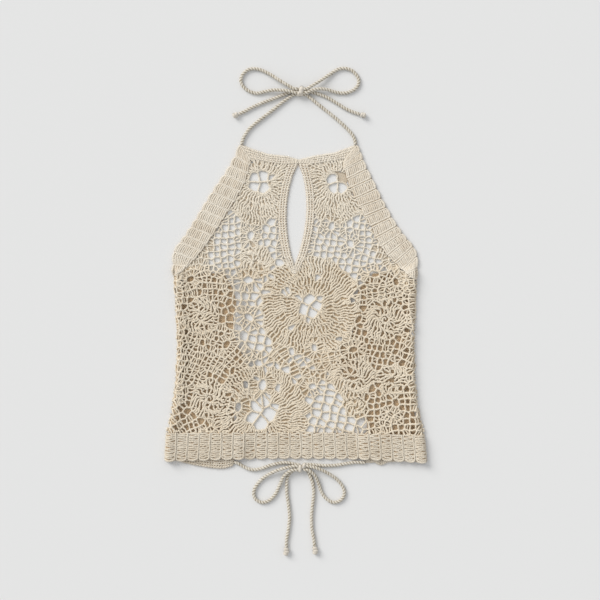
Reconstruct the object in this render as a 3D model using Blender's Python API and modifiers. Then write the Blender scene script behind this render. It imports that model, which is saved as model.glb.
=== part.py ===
"""Crochet halter top, laid flat on its back: an openwork front with a keyhole, ribbed
armhole and hem bands, two solid back panels below it, and cord ties in bows at neck and back.

X is across the garment, Y runs up to the neck and Z is up from the surface it lies on.
All sizes are in millimetres; MM turns them into Blender's metres at the last step.
"""

import cmath
import math
import random

import bmesh
import bpy
from mathutils import Vector, geometry

MM = 0.001

# Driving dimensions, in millimetres
SEAM = 0.3  # gap between pieces that are sewn together
LACE_THICK = 2.0  # openwork cloth, one layer of 1.5 mm yarn and its knots
PANEL_THICK = 2.2  # close crochet of the back
BAND_THICK = 2.4  # ribbed band in a groove between two ribs
RIB_RISE = 1.3  # what a rib's crest stands above the groove
EDGING_THICK = 2.8  # close crochet round the keyhole and along the neck
KEYHOLE_WIDTH = 31.5
EDGING_WIDTH = 12.5  # of the close crochet along the slit
EDGING_TOP = 3.3  # what it is wider where it joins the neck band
EDGING_FOOT = (7.5, -6.0)  # its outer edge near the slit's foot, across and up from the foot
EDGING_TIP = 1.2  # half its width at its lowest point
EDGING_GAP = 0.36  # from its outer edge to the openwork, across
CORD_DIAMETER = 5.2
CORD_STEP = 9.0  # between two points of a cord's line
LAYER_CLEARANCE = 0.7  # air between the front and the back below it
SIDE_PUFF = 4.4  # what the front stands up more, near the fold at each side
HEM_FLATTER = 0.35  # share of that which the hem lacks
SIDE_ROLL = 4.0  # width in which the front turns down to the surface at each side
BACK_INSET = 8.0  # from the front's side edge to the back panel's
SETTLE = 24.0  # width in which the front comes down from the back panel to the surface
ON_BACK = 3.0  # how far past the back panel's edge the front is still at its full height
TOP_SETTLE = (2.0, 14.0)  # heights over the back panel's top between which the front comes down
PUFF_PLACE = (7.0, 10.0)  # the puff's middle, from the side edge, and its spread
HEM_SETTLE = (-188.0, -196.0)  # heights between which the front rises onto the back's hem
MOST_GAPS = 290  # gaps of the openwork that are cut through
LEAST_GAP = 4.0  # smallest width of a gap that is cut
STRAND = 3.0  # width of openwork left between two gaps
CLOSE_REACH = 12.0  # width of the closer crochet along the foot of an armhole band
CLOSE_TOP = 100.0  # height up to which that runs
CLOSE_SIDE = 9.0  # width of the closer crochet in the fold at each side
SHORT_SIDE = 2.6  # a gap has no side shorter than this
LEAST_TURN = 0.12  # and no corner that turns by less than this sine

SIDE_EDGE = (  # y, x of the left edge, x of the right edge
    (48.0, -188.0, 187.0),
    (10.0, -186.5, 185.5),
    (-54.0, -183.0, 183.5),
    (-110.0, -185.5, 184.5),
    (-147.0, -190.0, 188.0),
    (-175.0, -194.5, 193.0),
    (-194.0, -198.5, 196.5),
    (-196.0, -200.0, 199.0),
    (-238.0, -203.5, 203.5),
)
BACK_EDGE = (  # y, x where the left back panel ends, x where the right one ends
    (64.0, -120.0, 128.0),
    (46.0, -108.0, 116.0),
    (28.0, -98.0, 98.0),
    (8.0, -92.0, 92.0),
    (-16.0, -97.0, 94.0),
    (-42.0, -97.0, 88.0),
    (-64.0, -88.0, 66.0),
    (-84.0, -78.0, 60.0),
    (-104.0, -78.0, 74.0),
    (-126.0, -84.0, 90.0),
    (-150.0, -97.0, 104.0),
    (-175.0, -96.0, 110.0),
    (-200.0, -90.0, 112.0),
    (-250.0, -90.0, 112.0),
)
BACK_TOP = 52.0  # the back panels start below the armhole bands
BACK_CORNER = (22.0, 18.0)  # cut off each panel's upper outer corner, across and down
SIDE_TOP = 30.0  # up to this height the openwork ends at the side edge
SIDE_FOOT = -190.0  # and from this one
SIDE_CORNERS = ((-188.5, 46.5), (186.5, 41.0))  # where the openwork meets the band and the side
ARM_LEFT = (  # outer x, y and inner x, y of each line between two ribs, from the neck down
    (-85.5, 251.0, -69.5, 228.0),
    (-92.2, 233.0, -71.0, 220.0),
    (-100.5, 218.5, -73.8, 207.5),
    (-109.0, 204.8, -78.7, 192.0),
    (-118.0, 192.2, -86.1, 178.3),
    (-127.8, 177.8, -94.5, 163.6),
    (-136.7, 163.4, -104.1, 149.0),
    (-144.8, 150.0, -112.3, 136.2),
    (-152.9, 136.3, -120.7, 123.0),
    (-161.0, 123.7, -128.8, 110.5),
    (-169.5, 110.5, -138.0, 97.3),
    (-178.0, 99.8, -146.0, 86.4),
    (-187.8, 86.0, -156.4, 73.5),
    (-189.0, 66.0, -167.5, 62.7),
    (-188.5, 48.0, -176.0, 55.5),
)
ARM_RIGHT = (
    (94.0, 251.0, 76.0, 228.0),
    (98.9, 240.3, 75.0, 221.0),
    (103.2, 228.5, 74.3, 213.5),
    (109.7, 213.2, 79.5, 198.5),
    (117.2, 198.9, 84.5, 184.0),
    (124.8, 183.0, 92.5, 168.0),
    (131.8, 167.9, 98.5, 155.2),
    (139.5, 154.2, 107.5, 140.7),
    (147.4, 139.2, 117.0, 124.4),
    (156.5, 125.1, 124.0, 107.5),
    (164.0, 114.0, 132.3, 92.6),
    (172.4, 104.0, 142.0, 79.5),
    (181.5, 93.3, 153.0, 68.8),
    (187.6, 79.0, 165.2, 57.2),
    (187.4, 60.5, 171.0, 51.7),
    (186.0, 42.0, 176.0, 47.0),
)
NECK_EDGE = (  # x, y along the top of the front
    (-85.2, 251.3),
    (-63.0, 243.0),
    (-42.5, 236.5),
    (-13.5, 233.5),
    (5.0, 227.5),
    (31.5, 234.5),
    (61.0, 239.0),
    (93.7, 251.3),
)
NECK_FOOT = (  # x, y along the seam between the neck band and the openwork
    (-69.2, 228.3),
    (-58.0, 227.5),
    (-40.5, 223.7),
    (-14.0, 221.0),
    (4.5, 222.5),
    (30.0, 221.8),
    (57.5, 226.5),
    (75.8, 228.3),
)
KEYHOLE_TOP = (4.0, 222.1)
KEYHOLE_FOOT = (-2.0, 64.0)
KEYHOLE_SHAPE = (0.9, 0.8)  # exponents: under 1, the first moves its widest part up
#                             and the second blunts its ends
HEM_RIBS = 23
HEM_TOP = ((-200.5, -194.5), (-110.0, -194.0), (0.0, -194.5), (110.0, -195.5), (199.5, -198.5))
HEM_FOOT = ((-203.5, -237.0), (-110.0, -234.0), (0.0, -232.5), (110.0, -234.0), (203.5, -239.5))
BACK_HEM_LEFT = (  # outer x, y at the foot and inner x, y at the top of each line between ribs
    (-195.0, -235.0, -191.5, -203.5),
    (-180.0, -239.0, -176.5, -203.5),
    (-163.0, -243.0, -159.5, -203.5),
    (-146.0, -246.5, -142.5, -203.5),
    (-129.0, -249.0, -125.5, -203.5),
    (-112.0, -250.0, -108.0, -203.5),
    (-97.0, -245.5, -90.5, -203.5),
)
BACK_HEM_RIGHT = (
    (108.0, -241.0, 112.0, -203.5),
    (121.5, -240.0, 124.0, -203.5),
    (131.5, -245.0, 135.5, -203.5),
    (143.0, -240.0, 147.5, -203.5),
    (159.5, -238.5, 161.5, -203.5),
    (176.5, -237.0, 177.0, -203.5),
    (194.5, -236.0, 191.0, -203.5),
)
BACK_HEM_TOP = -203.5  # the seam between the back panels and their hem bands
SCALLOP = 2.3  # what a rib's rounded end stands out of the band's edge
BACK_SCALLOP = 0.8  # and out of the edge of a back hem band
RIB_ROWS = (0.0, 0.14, 0.86, 1.0)  # rows of points on a rib, as shares of the way to the top
RIB_END = 0.25  # height left of a rib at its two ends
EDGING_RISE = 0.7  # what a stitch of the close edging stands above the joint with the next
KEYHOLE_SPANS = 10  # straight stretches along each side of the slit
KEYHOLE_STITCHES = 2  # raised stitches in each of those stretches
NECK_STITCHES = 3  # and in each stretch of the neck band

# The openwork. A motif is a ring of spokes round an open eye; a net is a patch of mesh.
MOTIFS = (  # name, x, y, radius of the eye, outer radius, pitch of the spokes, pitch of the rings
    ("centre", 22.0, 1.5, 21.5, 78.0, 4.2, 12.5),
    ("low_left", -55.0, -166.0, 28.0, 78.0, 4.2, 13.0),
    ("up_left", -56.0, 193.5, 21.5, 66.0, 4.0, 10.0),
    ("up_right", 65.0, 193.0, 21.5, 63.0, 4.0, 10.0),
    ("rosette", 92.0, -156.0, 3.2, 14.0, 4.0, 5.0),
    ("leaf_left", -62.0, 70.0, 4.0, 27.0, 4.0, 10.0),
    ("mid_left", -147.0, -15.0, 8.0, 30.0, 4.6, 9.5),
    ("foot_left", -133.0, -142.0, 8.5, 33.0, 4.6, 10.0),
    ("mid_right", 138.0, -19.0, 9.0, 33.0, 4.6, 9.5),
    ("star", 87.0, -110.0, 4.0, 36.0, 4.4, 12.0),
    ("foot_right", 149.0, -113.0, 5.0, 26.0, 4.6, 9.0),
)
NETS = (  # name, x, y, pitch across, pitch along, turn in degrees
    ("up_left", -78.5, 96.0, 10.4, 9.8, 4.0),
    ("up_right", 76.5, 88.0, 10.4, 9.6, -8.0),
    ("open_left", -74.0, -23.0, 12.8, 12.6, -10.0),
    ("low_right", 61.0, -160.0, 13.8, 11.8, -12.0),
    ("side_left", -156.0, 11.0, 7.6, 9.4, 4.0),
    ("waist_left", -164.0, -82.0, 7.2, 9.6, -20.0),
    ("hem_left", -164.0, -175.0, 7.8, 10.8, 25.0),
    ("side_right", 161.5, 11.0, 9.2, 7.4, 8.0),
    ("waist_right", 138.0, -67.0, 7.6, 9.8, -15.0),
    ("hem_right", 154.0, -160.0, 9.0, 9.6, 4.0),
    ("mid_left", -110.0, -67.0, 7.0, 8.8, -35.0),
    ("mid_low", 6.5, -67.0, 6.4, 12.0, -55.0),
)
WINDOWS = (  # x, y, radius of each wide opening between the motifs
    (-51.5, -121.0, 9.5),
    (-89.0, -155.0, 7.5),
    (-74.0, 42.0, 8.0),
    (-72.5, -16.0, 8.0),
    (26.0, -123.0, 7.0),
    (55.5, 125.5, 7.0),
    (-163.0, 43.0, 6.5),
    (-107.0, -58.0, 7.0),
    (-171.0, -129.5, 5.5),
    (-131.0, -189.0, 5.5),
    (89.0, -66.0, 7.0),
    (155.0, 39.0, 6.5),
    (121.0, 51.0, 7.5),
    (147.0, -166.0, 5.5),
    (29.0, -63.0, 6.5),
    (85.0, 98.0, 7.5),
    (-70.0, 111.0, 7.5),
)
EYE_PARTS = (0.55 + 0.35j, -0.2 + 0.55j, -0.6 + 0.0j, 0.05 - 0.62j)  # openings of a large eye
LARGE_EYE = 12.0  # radius from which an eye has threads across it
LOBES = 5  # petals of a large motif
SMALL_LOBES = 3  # and of a small one
MORE_SPOKES = 1.45  # spokes are added where their pitch has grown by this much
LOBE_DEPTH = 0.16  # how far a petal's rows swell out, as a share of their radius
SWIRL = 0.05  # turn in radians from one row of a motif to the next
ROW_WAVES = 9  # how often a row of a motif waves in and out
UNEVEN_TURN = 0.13  # how uneven the spokes are, as a share of their pitch
UNEVEN_ROW = (0.22, 0.12)  # how much a row waves, and how uneven it is, as shares of its pitch
BENDS = (2.3, 2.5)  # how far the two ways of a net bend
UNEVEN_NET = 0.2  # how uneven a net is, as a share of its pitch
NET_REACH = 30  # meshes of a net on each side of its middle
WINDOW_RING = 1.9  # radius of the ring of openings round a window, as a multiple of its own
WINDOW_PITCH = 6.2  # from one opening of that ring to the next
WINDOW_SPACE = 2.5  # from that ring to the next openings
UNEVEN_RING = (0.2, 0.2, 0.08)  # how uneven its pitch is, how oval it is and how rough
SITE_SPACE = 4.0  # least distance of a mesh's centre from a motif's
LACE_FIELD = ((-205.0, -205.0), (205.0, 235.0))  # corners of the area that holds openwork
SEED = 7  # of all that is uneven
NEIGHBOURS = 30  # centres that can bound a cell of the openwork
CELL_SPACE = 1.0  # least distance of the sheet's inner points from a gap
CDT_REACH = 0.0001  # distance within which two points of the sheet are one
FOLD_STEP = 12  # between two rows of the sheet's points along a fold
GRID_STEP = 30  # between two points of its loose grid
GRID_REACH = 180  # how far that grid runs from the middle

# The bows, as x, y, z of a few points of each stretch, from the garment or the knot
NECK_KNOT = (7.5, 333.5)
BACK_KNOT = (8.8, -248.0)
KNOT_SIZE = (11.0, 16.0, 12.2)
KNOT_ROUNDING = 0.28  # of its edges, as a share of its smallest size
KNOT_LEAD = 4.5  # straight length of cord at a knot's side
END_KNOTS = {"neck": (9.4, 8.4, 8.2), "back": (12.6, 8.6, 8.2)}  # along the cord, across, up
LOW = CORD_DIAMETER / 2 + 0.05  # a cord's middle where it lies on the surface
HIGH = LOW + CORD_DIAMETER + 0.35  # and where it lies on another cord

CREAM = (0.60, 0.51, 0.38, 1.0)
SHADED = (0.42, 0.33, 0.22, 1.0)


def clear_scene():
    for obj in list(bpy.data.objects):
        bpy.data.objects.remove(obj)


def make_material(name, colour, roughness):
    material = bpy.data.materials.new(name)
    material.use_nodes = True
    shader = material.node_tree.nodes["Principled BSDF"]
    shader.inputs["Base Color"].default_value = colour
    shader.inputs["Roughness"].default_value = roughness
    shader.inputs["Metallic"].default_value = 0.0
    return material


def add_object(name, data, material, collection):
    obj = bpy.data.objects.new(name, data)
    obj.data.materials.append(material)
    collection.objects.link(obj)
    return obj


def smoothstep(value):
    t = min(1.0, max(0.0, value))
    return t * t * (3.0 - 2.0 * t)


def look_up(table, key, column):
    """The value of a column of a table at a key between two rows of its first column."""
    rows = sorted(table)
    if key <= rows[0][0]:
        return rows[0][column]
    for low, high in zip(rows, rows[1:]):
        if key <= high[0]:
            share = (key - low[0]) / (high[0] - low[0])
            return low[column] + share * (high[column] - low[column])
    return rows[-1][column]


def underside(x, y):
    """Height of the front's underside: on the surface in the middle and at the neck, over
    the back panels at the sides, and rolled down to the surface along each side edge."""
    column = side_column(x)
    from_side = abs(look_up(SIDE_EDGE, y, column) - x)
    past_back = (x - look_up(BACK_EDGE, y, column)) * (1.0 if x < 0.0 else -1.0)
    over_back = smoothstep((SETTLE - past_back) / (SETTLE - ON_BACK))
    low, high = TOP_SETTLE
    over_back *= smoothstep((BACK_TOP + high - y) / (high - low))
    rolled = smoothstep((from_side - SEAM) / (SIDE_ROLL - SEAM))
    hem_share = smoothstep((HEM_SETTLE[0] - y) / (HEM_SETTLE[0] - HEM_SETTLE[1]))
    layer = PANEL_THICK + hem_share * (BAND_THICK + RIB_RISE - PANEL_THICK) + LAYER_CLEARANCE
    puff = SIDE_PUFF * math.exp(-(((from_side - PUFF_PLACE[0]) / PUFF_PLACE[1]) ** 2))
    return over_back * rolled * (layer + puff * (1.0 - HEM_FLATTER * hem_share))


def side_column(x):
    """The column of a side table that holds the side an x is on."""
    return 1 if x < 0.0 else 2


def keyhole_half_width(share):
    """Half the slit's width at a share of the way down it: a slim leaf, fullest above the middle."""
    middle, ends = KEYHOLE_SHAPE
    return 0.5 * KEYHOLE_WIDTH * math.sin(math.pi * share**middle) ** ends


def keyhole_middle(share):
    top, foot = KEYHOLE_TOP, KEYHOLE_FOOT
    return (top[0] + share * (foot[0] - top[0]), top[1] + share * (foot[1] - top[1]))


def keyhole_rails(side):
    """The slit's edge and the outer edge of its edging, down one side (-1 or 1) to the foot."""
    slit, outer = [], []
    for i in range(KEYHOLE_SPANS):
        share = i / (KEYHOLE_SPANS - 1)
        x, y = keyhole_middle(share)
        half = keyhole_half_width(share)
        slit.append((x + side * max(half, SEAM / 2), y))
        outer.append((x + side * (half + EDGING_WIDTH), y))
    top_x = KEYHOLE_TOP[0] + side * (EDGING_WIDTH + EDGING_TOP)
    outer[0] = (top_x, look_up(NECK_FOOT, top_x, 1) - SEAM)
    outer[-1] = (KEYHOLE_FOOT[0] + side * EDGING_FOOT[0], KEYHOLE_FOOT[1] + EDGING_FOOT[1])
    foot_y = KEYHOLE_FOOT[1] - EDGING_WIDTH
    slit.append((KEYHOLE_FOOT[0] + side * SEAM / 2, foot_y))
    outer.append((KEYHOLE_FOOT[0] + side * EDGING_TIP, foot_y))
    return slit, outer


def keyhole_seam(side):
    """The edge of the openwork along the slit's edging, a seam's width out of it."""
    _, outer = keyhole_rails(side)
    middle = len(outer) / 2
    return [
        (x + side * EDGING_GAP, y - (SEAM if i > middle else 0.0))
        for i, (x, y) in enumerate(outer)
    ]


def smooth_line(points, per_span):
    """A Catmull-Rom curve through the points, with their first and last points kept."""
    knots = [Vector(p) for p in points]
    knots = [2 * knots[0] - knots[1]] + knots + [2 * knots[-1] - knots[-2]]
    line = []
    for a, b, c, d in zip(knots, knots[1:], knots[2:], knots[3:]):
        for i in range(per_span):
            t = i / per_span
            line.append(
                0.5 * (2 * b + (c - a) * t + (2 * a - 5 * b + 4 * c - d) * t**2
                       + (3 * b - a - 3 * c + d) * t**3)
            )
    line.append(Vector(points[-1]))
    return line


def spaced_line(line, step):
    """The same line with points about a step apart."""
    lengths = [0.0]
    for a, b in zip(line, line[1:]):
        lengths.append(lengths[-1] + (b - a).length)
    count = max(2, round(lengths[-1] / step))
    points, span = [], 0
    for i in range(count + 1):
        target = lengths[-1] * i / count
        while span < len(lengths) - 2 and lengths[span + 1] < target:
            span += 1
        share = (target - lengths[span]) / (lengths[span + 1] - lengths[span])
        points.append(line[span].lerp(line[span + 1], share))
    return points


def on_surface(x, y):
    """Height of the underside of a piece that lies on the surface."""
    return 0.0


def ribbed_band(name, rails, ribs, shape, material, collection, floor=underside):
    """A band between two rails, foot and top, with ribs that run from one rail to the other.

    Ribs is how many there are between two neighbouring points of a rail. Shape is the
    thickness in the grooves, the rise of a rib, its scallop past the foot, and the columns of
    faces in a rib. The upper face is a grid, the underside one strip, and the ends are flat.
    """
    foot, top = rails
    base, rise, scallop, per_rib = shape
    mesh = bmesh.new()
    upper, lower = [], []
    for i in range((len(foot) - 1) * ribs * per_rib + 1):
        swell = math.sin(math.pi * (i % per_rib) / per_rib)
        at = i / (per_rib * ribs)
        span = min(int(at), len(foot) - 2)
        ends = [Vector(rail[span]).lerp(Vector(rail[span + 1]), at - span) for rail in rails]
        out = (ends[0] - ends[1]).normalized()
        ends[0] = ends[0] + out * scallop * swell**0.6
        column = []
        for share in RIB_ROWS:
            x, y = ends[0].lerp(ends[1], share)
            crest = rise * swell**0.7 * (RIB_END if share in (0.0, 1.0) else 1.0)
            column.append(mesh.verts.new((x * MM, y * MM, (floor(x, y) + base + crest) * MM)))
        upper.append(column)
        feet = []
        for x, y in ends:
            feet.append(mesh.verts.new((x * MM, y * MM, floor(x, y) * MM)))
        lower.append(feet)
    for a, b, c, d in zip(upper, upper[1:], lower, lower[1:]):
        for row in range(len(RIB_ROWS) - 1):
            mesh.faces.new((a[row], b[row], b[row + 1], a[row + 1]))
        mesh.faces.new((c[0], c[1], d[1], d[0]))
        mesh.faces.new((a[0], c[0], d[0], b[0]))
        mesh.faces.new((b[-1], d[1], c[1], a[-1]))
    mesh.faces.new([lower[0][0], *upper[0], lower[0][1]])
    mesh.faces.new([lower[-1][1], *reversed(upper[-1]), lower[-1][0]])
    bmesh.ops.triangulate(mesh, faces=mesh.faces)
    bmesh.ops.recalc_face_normals(mesh, faces=mesh.faces)
    data = bpy.data.meshes.new(name)
    mesh.to_mesh(data)
    mesh.free()
    return add_object(name, data, material, collection)


def motif_of(point):
    """The motif that a point belongs to, or None."""
    best, nearest = None, 1.0
    for motif in MOTIFS:
        share = abs(point - complex(motif[1], motif[2])) / motif[4]
        if share < nearest:
            best, nearest = motif, share
    return best


def motif_centres(motif, rng):
    """The middles of a motif's openings: its eye, then lobed rings of slots between spokes."""
    name, x, y, eye, reach, spoke, ring = motif
    middle = complex(x, y)
    lobes = LOBES if eye > LARGE_EYE else SMALL_LOBES
    if eye > LARGE_EYE:
        centres = [middle + eye * cmath.rect(1.0, x) * part for part in EYE_PARTS]
    else:
        centres = [middle]
    radius, row = eye + ring / 2, 0
    count = round(2 * math.pi * radius / spoke)
    while radius < reach:
        if 2 * math.pi * radius / spoke > MORE_SPOKES * count:
            count = round(2 * math.pi * radius / spoke)
        swell = LOBE_DEPTH * (radius - eye) / (reach - eye)
        for i in range(count):
            turn = 2 * math.pi * (i + 0.5 * (row % 2) + uneven(rng, UNEVEN_TURN)) / count
            wide = radius * (1.0 + swell * math.sin(lobes * turn + y))
            wave = UNEVEN_ROW[0] * math.sin(ROW_WAVES * turn + 2.0 * row)
            wide += (wave + uneven(rng, UNEVEN_ROW[1])) * ring
            point = middle + cmath.rect(wide, turn + SWIRL * row)
            if motif_of(point) is motif and not near_window(point):
                centres.append(point)
        radius += ring
        row += 1
    return centres


def uneven(rng, most):
    """A seeded number between plus and minus the most."""
    return rng.uniform(-most, most)


def net_centres(net, taken, rng):
    """The middles of a net's meshes, on a gently bent grid, where no motif or other net is."""
    name, x, y, across, along, turn = net
    middle, rotation = complex(x, y), cmath.exp(1j * math.radians(turn))
    (left, foot), (right, top) = LACE_FIELD
    centres = []
    for i in range(-NET_REACH, NET_REACH + 1):
        for j in range(-NET_REACH, NET_REACH + 1):
            u = i * across + BENDS[0] * math.sin(0.55 * j + 0.2 * i)
            u += uneven(rng, UNEVEN_NET) * across
            v = j * along + BENDS[1] * math.sin(0.5 * i + 1.0)
            v += uneven(rng, UNEVEN_NET) * along
            point = middle + complex(u, v) * rotation
            if not (left < point.real < right and foot < point.imag < top):
                continue
            nearest = min(NETS, key=lambda n: abs(point - complex(n[1], n[2])))
            if nearest is not net or motif_of(point) is not None or near_window(point):
                continue
            if all(abs(point - other) > SITE_SPACE for other in taken):
                centres.append(point)
    return centres


def near_window(point):
    """Whether a point is inside the ring round a window, or close to that ring."""
    return any(abs(point - complex(x, y)) < WINDOW_RING * r + WINDOW_SPACE for x, y, r in WINDOWS)


def window_centres(rng):
    """The middles of the windows, and of the uneven ring of openings round each."""
    centres = []
    for window in WINDOWS:
        x, y, radius = window
        reach = WINDOW_RING * radius
        count = round(2 * math.pi * reach / WINDOW_PITCH)
        others = [other for other in WINDOWS if other is not window]
        centres.append(complex(x, y))
        for i in range(count):
            turn = 2 * math.pi * (i + uneven(rng, UNEVEN_RING[0])) / count
            oval = UNEVEN_RING[1] * math.sin(2 * turn + x)
            out = reach * (1.0 + oval + uneven(rng, UNEVEN_RING[2]))
            point = complex(x, y) + cmath.rect(out, turn)
            if all(abs(point - complex(a, b)) > WINDOW_RING * r for a, b, r in others):
                centres.append(point)
    return centres


def lace_centres():
    """The middle of every opening of the openwork, as complex numbers in millimetres."""
    rng = random.Random(SEED)
    centres = window_centres(rng)
    for motif in MOTIFS:
        centres += motif_centres(motif, rng)
    for net in NETS:
        centres += net_centres(net, centres, rng)
    return centres


def lace_cell(middle, centres, strand):
    """The opening round a middle: the area nearer to it than to any other middle, less half a
    strand on every side. It is cut down from a square by one straight line after another."""
    near = sorted(centres, key=lambda c: abs(c - middle))[1 : NEIGHBOURS + 1]
    half = abs(near[-1] - middle)
    cell = [middle + complex(a, b) * half for a, b in ((-1, -1), (1, -1), (1, 1), (-1, 1))]
    for other in near:
        toward = (other - middle) / abs(other - middle)
        limit = abs(other - middle) / 2 - strand / 2
        past = [((corner - middle) * toward.conjugate()).real - limit for corner in cell]
        kept = []
        for i, corner in enumerate(cell):
            j = (i + 1) % len(cell)
            if past[i] <= 0:
                kept.append(corner)
            if (past[i] < 0) != (past[j] < 0):
                kept.append(corner + past[i] / (past[i] - past[j]) * (cell[j] - corner))
        cell = kept
        if len(cell) < 3:
            return []
    return cell


def plain_cell(cell):
    """The cell without corners that end a short side or hardly turn."""
    corners = list(cell)
    i = 0
    while len(corners) > 4 and i < len(corners):
        a, b, c = corners[i - 1], corners[i], corners[(i + 1) % len(corners)]
        cross = abs(((b - a) * (c - b).conjugate()).imag)
        if abs(b - a) < SHORT_SIDE or cross < LEAST_TURN * abs(b - a) * abs(c - b):
            if abs(b - a) < SHORT_SIDE:
                corners[i - 1] = (a + b) / 2
            corners.pop(i)
            i = max(0, i - 1)
        else:
            i += 1
    return corners


def cell_area(cell):
    return 0.5 * sum((a.conjugate() * b).imag for a, b in zip(cell, cell[1:] + cell[:1]))


def cell_width(cell):
    """The smallest width of a cell, over the directions of its sides."""
    widths = []
    for a, b in zip(cell, cell[1:] + cell[:1]):
        along = (b - a) / abs(b - a)
        widths.append(max(((c - a) * along.conjugate()).imag for c in cell))
    return min(widths)


def inside(point, outline):
    """Whether a complex point is inside a closed outline of complex points."""
    hit = False
    for a, b in zip(outline, outline[1:] + outline[:1]):
        if (a.imag > point.imag) != (b.imag > point.imag):
            if point.real < a.real + (point.imag - a.imag) / (b.imag - a.imag) * (b.real - a.real):
                hit = not hit
    return hit


def from_outline(point, outline):
    """Distance of a complex point from an outline."""
    best = math.inf
    for a, b in zip(outline, outline[1:] + outline[:1]):
        share = ((point - a) * (b - a).conjugate()).real / abs(b - a) ** 2
        best = min(best, abs(point - a - min(1.0, max(0.0, share)) * (b - a)))
    return best


def lace_outline():
    """The edge of the openwork, anticlockwise from the hem's left end, a seam from each band."""
    hem = [complex(x, y + SEAM) for x, y in hem_rails()[1]]
    hem.insert(1, hem[0] + complex(SIDE_ROLL, 0.0))
    hem.insert(-1, hem[-1] - complex(SIDE_ROLL, 0.0))
    rows = [row for row in SIDE_EDGE if SIDE_FOOT < row[0] < SIDE_TOP]
    left_corner, right_corner = [complex(*corner) for corner in SIDE_CORNERS]
    right_side = [complex(x, y) for y, _, x in reversed(rows)]
    left_side = [complex(x, y) for y, x, _ in rows]
    arm_right = [complex(x - SEAM, y - SEAM) for _, _, x, y in reversed(ARM_RIGHT)]
    arm_left = [complex(x + SEAM, y - SEAM) for _, _, x, y in ARM_LEFT]
    down_right = [complex(*p) for p in keyhole_seam(1)]
    down_left = [complex(*p) for p in keyhole_seam(-1)]
    neck = [complex(x, y - EDGING_GAP) for x, y in reversed(NECK_FOOT[1:-1])]
    neck_right = [p for p in neck if p.real > down_right[0].real]
    neck_left = [p for p in neck if p.real < down_left[0].real]
    outline = hem + right_side + [right_corner] + arm_right + neck_right + down_right
    return outline + down_left[::-1] + neck_left + arm_left + [left_corner] + left_side


def support_points(outline, cells):
    """Points that make the openwork's sheet follow the form: along each side's fold, along
    the back panels' edges and on a loose grid, where there is cloth."""
    points = []
    for y in range(int(SIDE_FOOT) + 2, int(BACK_TOP + TOP_SETTLE[1]), FOLD_STEP):
        for column, inward in ((1, 1.0), (2, -1.0)):
            edge = look_up(SIDE_EDGE, float(y), column)
            steps = (SIDE_ROLL, PUFF_PLACE[0], sum(PUFF_PLACE), sum(PUFF_PLACE) + FOLD_STEP)
            points += [complex(edge + inward * step, y) for step in steps]
            back = look_up(BACK_EDGE, float(y), column)
            points += [complex(back + inward * step, y) for step in (ON_BACK, SETTLE / 2, SETTLE)]
    low, high = (BACK_TOP + step for step in TOP_SETTLE)
    for x in range(-GRID_REACH, GRID_REACH + 1, FOLD_STEP):
        points += [complex(x, low - SEAM), complex(x, (low + high) / 2)]
    for x in range(-GRID_REACH, GRID_REACH + 1, GRID_STEP):
        points += [complex(x, y) for y in range(-GRID_REACH, GRID_REACH + GRID_STEP, GRID_STEP)]
    return [
        point
        for point in points
        if inside(point, outline)
        and from_outline(point, outline) > STRAND
        and not any(inside(point, c) or from_outline(point, c) < CELL_SPACE for c in cells)
    ]


def is_close(point):
    """Whether the openwork is worked close at a point: along the foot of an armhole band and
    in the fold at each side."""
    column = side_column(point.real)
    if abs(look_up(SIDE_EDGE, point.imag, column) - point.real) < CLOSE_SIDE:
        return True
    rail = [complex(x, y) for _, _, x, y in (ARM_LEFT if column == 1 else ARM_RIGHT)]
    rail = [p for p in rail if p.imag < CLOSE_TOP + CLOSE_REACH]
    return point.imag < CLOSE_TOP and from_outline(point, rail + rail[::-1][1:-1]) < CLOSE_REACH


def open_cells(outline):
    """The widest gaps of the openwork, as the corners of each."""
    centres = lace_centres()
    cells = []
    for middle in centres:
        if not inside(middle, outline) or from_outline(middle, outline) < LEAST_GAP:
            continue
        if is_close(middle):
            continue
        cell = lace_cell(middle, centres, STRAND)
        if len(cell) < 3:
            continue
        cell = plain_cell(cell)
        clear = all(inside(c, outline) and from_outline(c, outline) > STRAND / 2 for c in cell)
        if clear and cell_width(cell) > LEAST_GAP:
            cells.append(cell)
    cells.sort(key=cell_area, reverse=True)
    return cells[:MOST_GAPS]


def add_lace(material, collection):
    """The openwork front: a triangulated sheet with its gaps left out, laid over the form."""
    outline = lace_outline()
    cells = open_cells(outline)
    loops = [outline] + cells
    points, edges = [], []
    for loop in loops:
        first = len(points)
        points += [Vector((c.real, c.imag)) for c in loop]
        edges += [(first + i, first + (i + 1) % len(loop)) for i in range(len(loop))]
    points += [Vector((c.real, c.imag)) for c in support_points(outline, cells)]
    verts, _, faces, *_ = geometry.delaunay_2d_cdt(points, edges, [], 0, CDT_REACH)
    mesh = bmesh.new()
    made = [mesh.verts.new((v.x * MM, v.y * MM, underside(v.x, v.y) * MM)) for v in verts]
    for face in faces:
        middle = sum((complex(verts[i].x, verts[i].y) for i in face), 0j) / len(face)
        if inside(middle, outline) and not any(inside(middle, cell) for cell in cells):
            mesh.faces.new([made[i] for i in face])
    return add_wall("front_lace", mesh, LACE_THICK, material, collection)


def add_wall(name, mesh, thickness, material, collection):
    """A piece of cloth: a sheet of faces that gets its thickness straight up."""
    raised = bmesh.ops.extrude_face_region(mesh, geom=mesh.faces[:])["geom"]
    tops = [item for item in raised if isinstance(item, bmesh.types.BMVert)]
    bmesh.ops.translate(mesh, verts=tops, vec=(0.0, 0.0, thickness * MM))
    bmesh.ops.recalc_face_normals(mesh, faces=mesh.faces)
    data = bpy.data.meshes.new(name)
    mesh.to_mesh(data)
    mesh.free()
    return add_object(name, data, material, collection)


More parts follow.
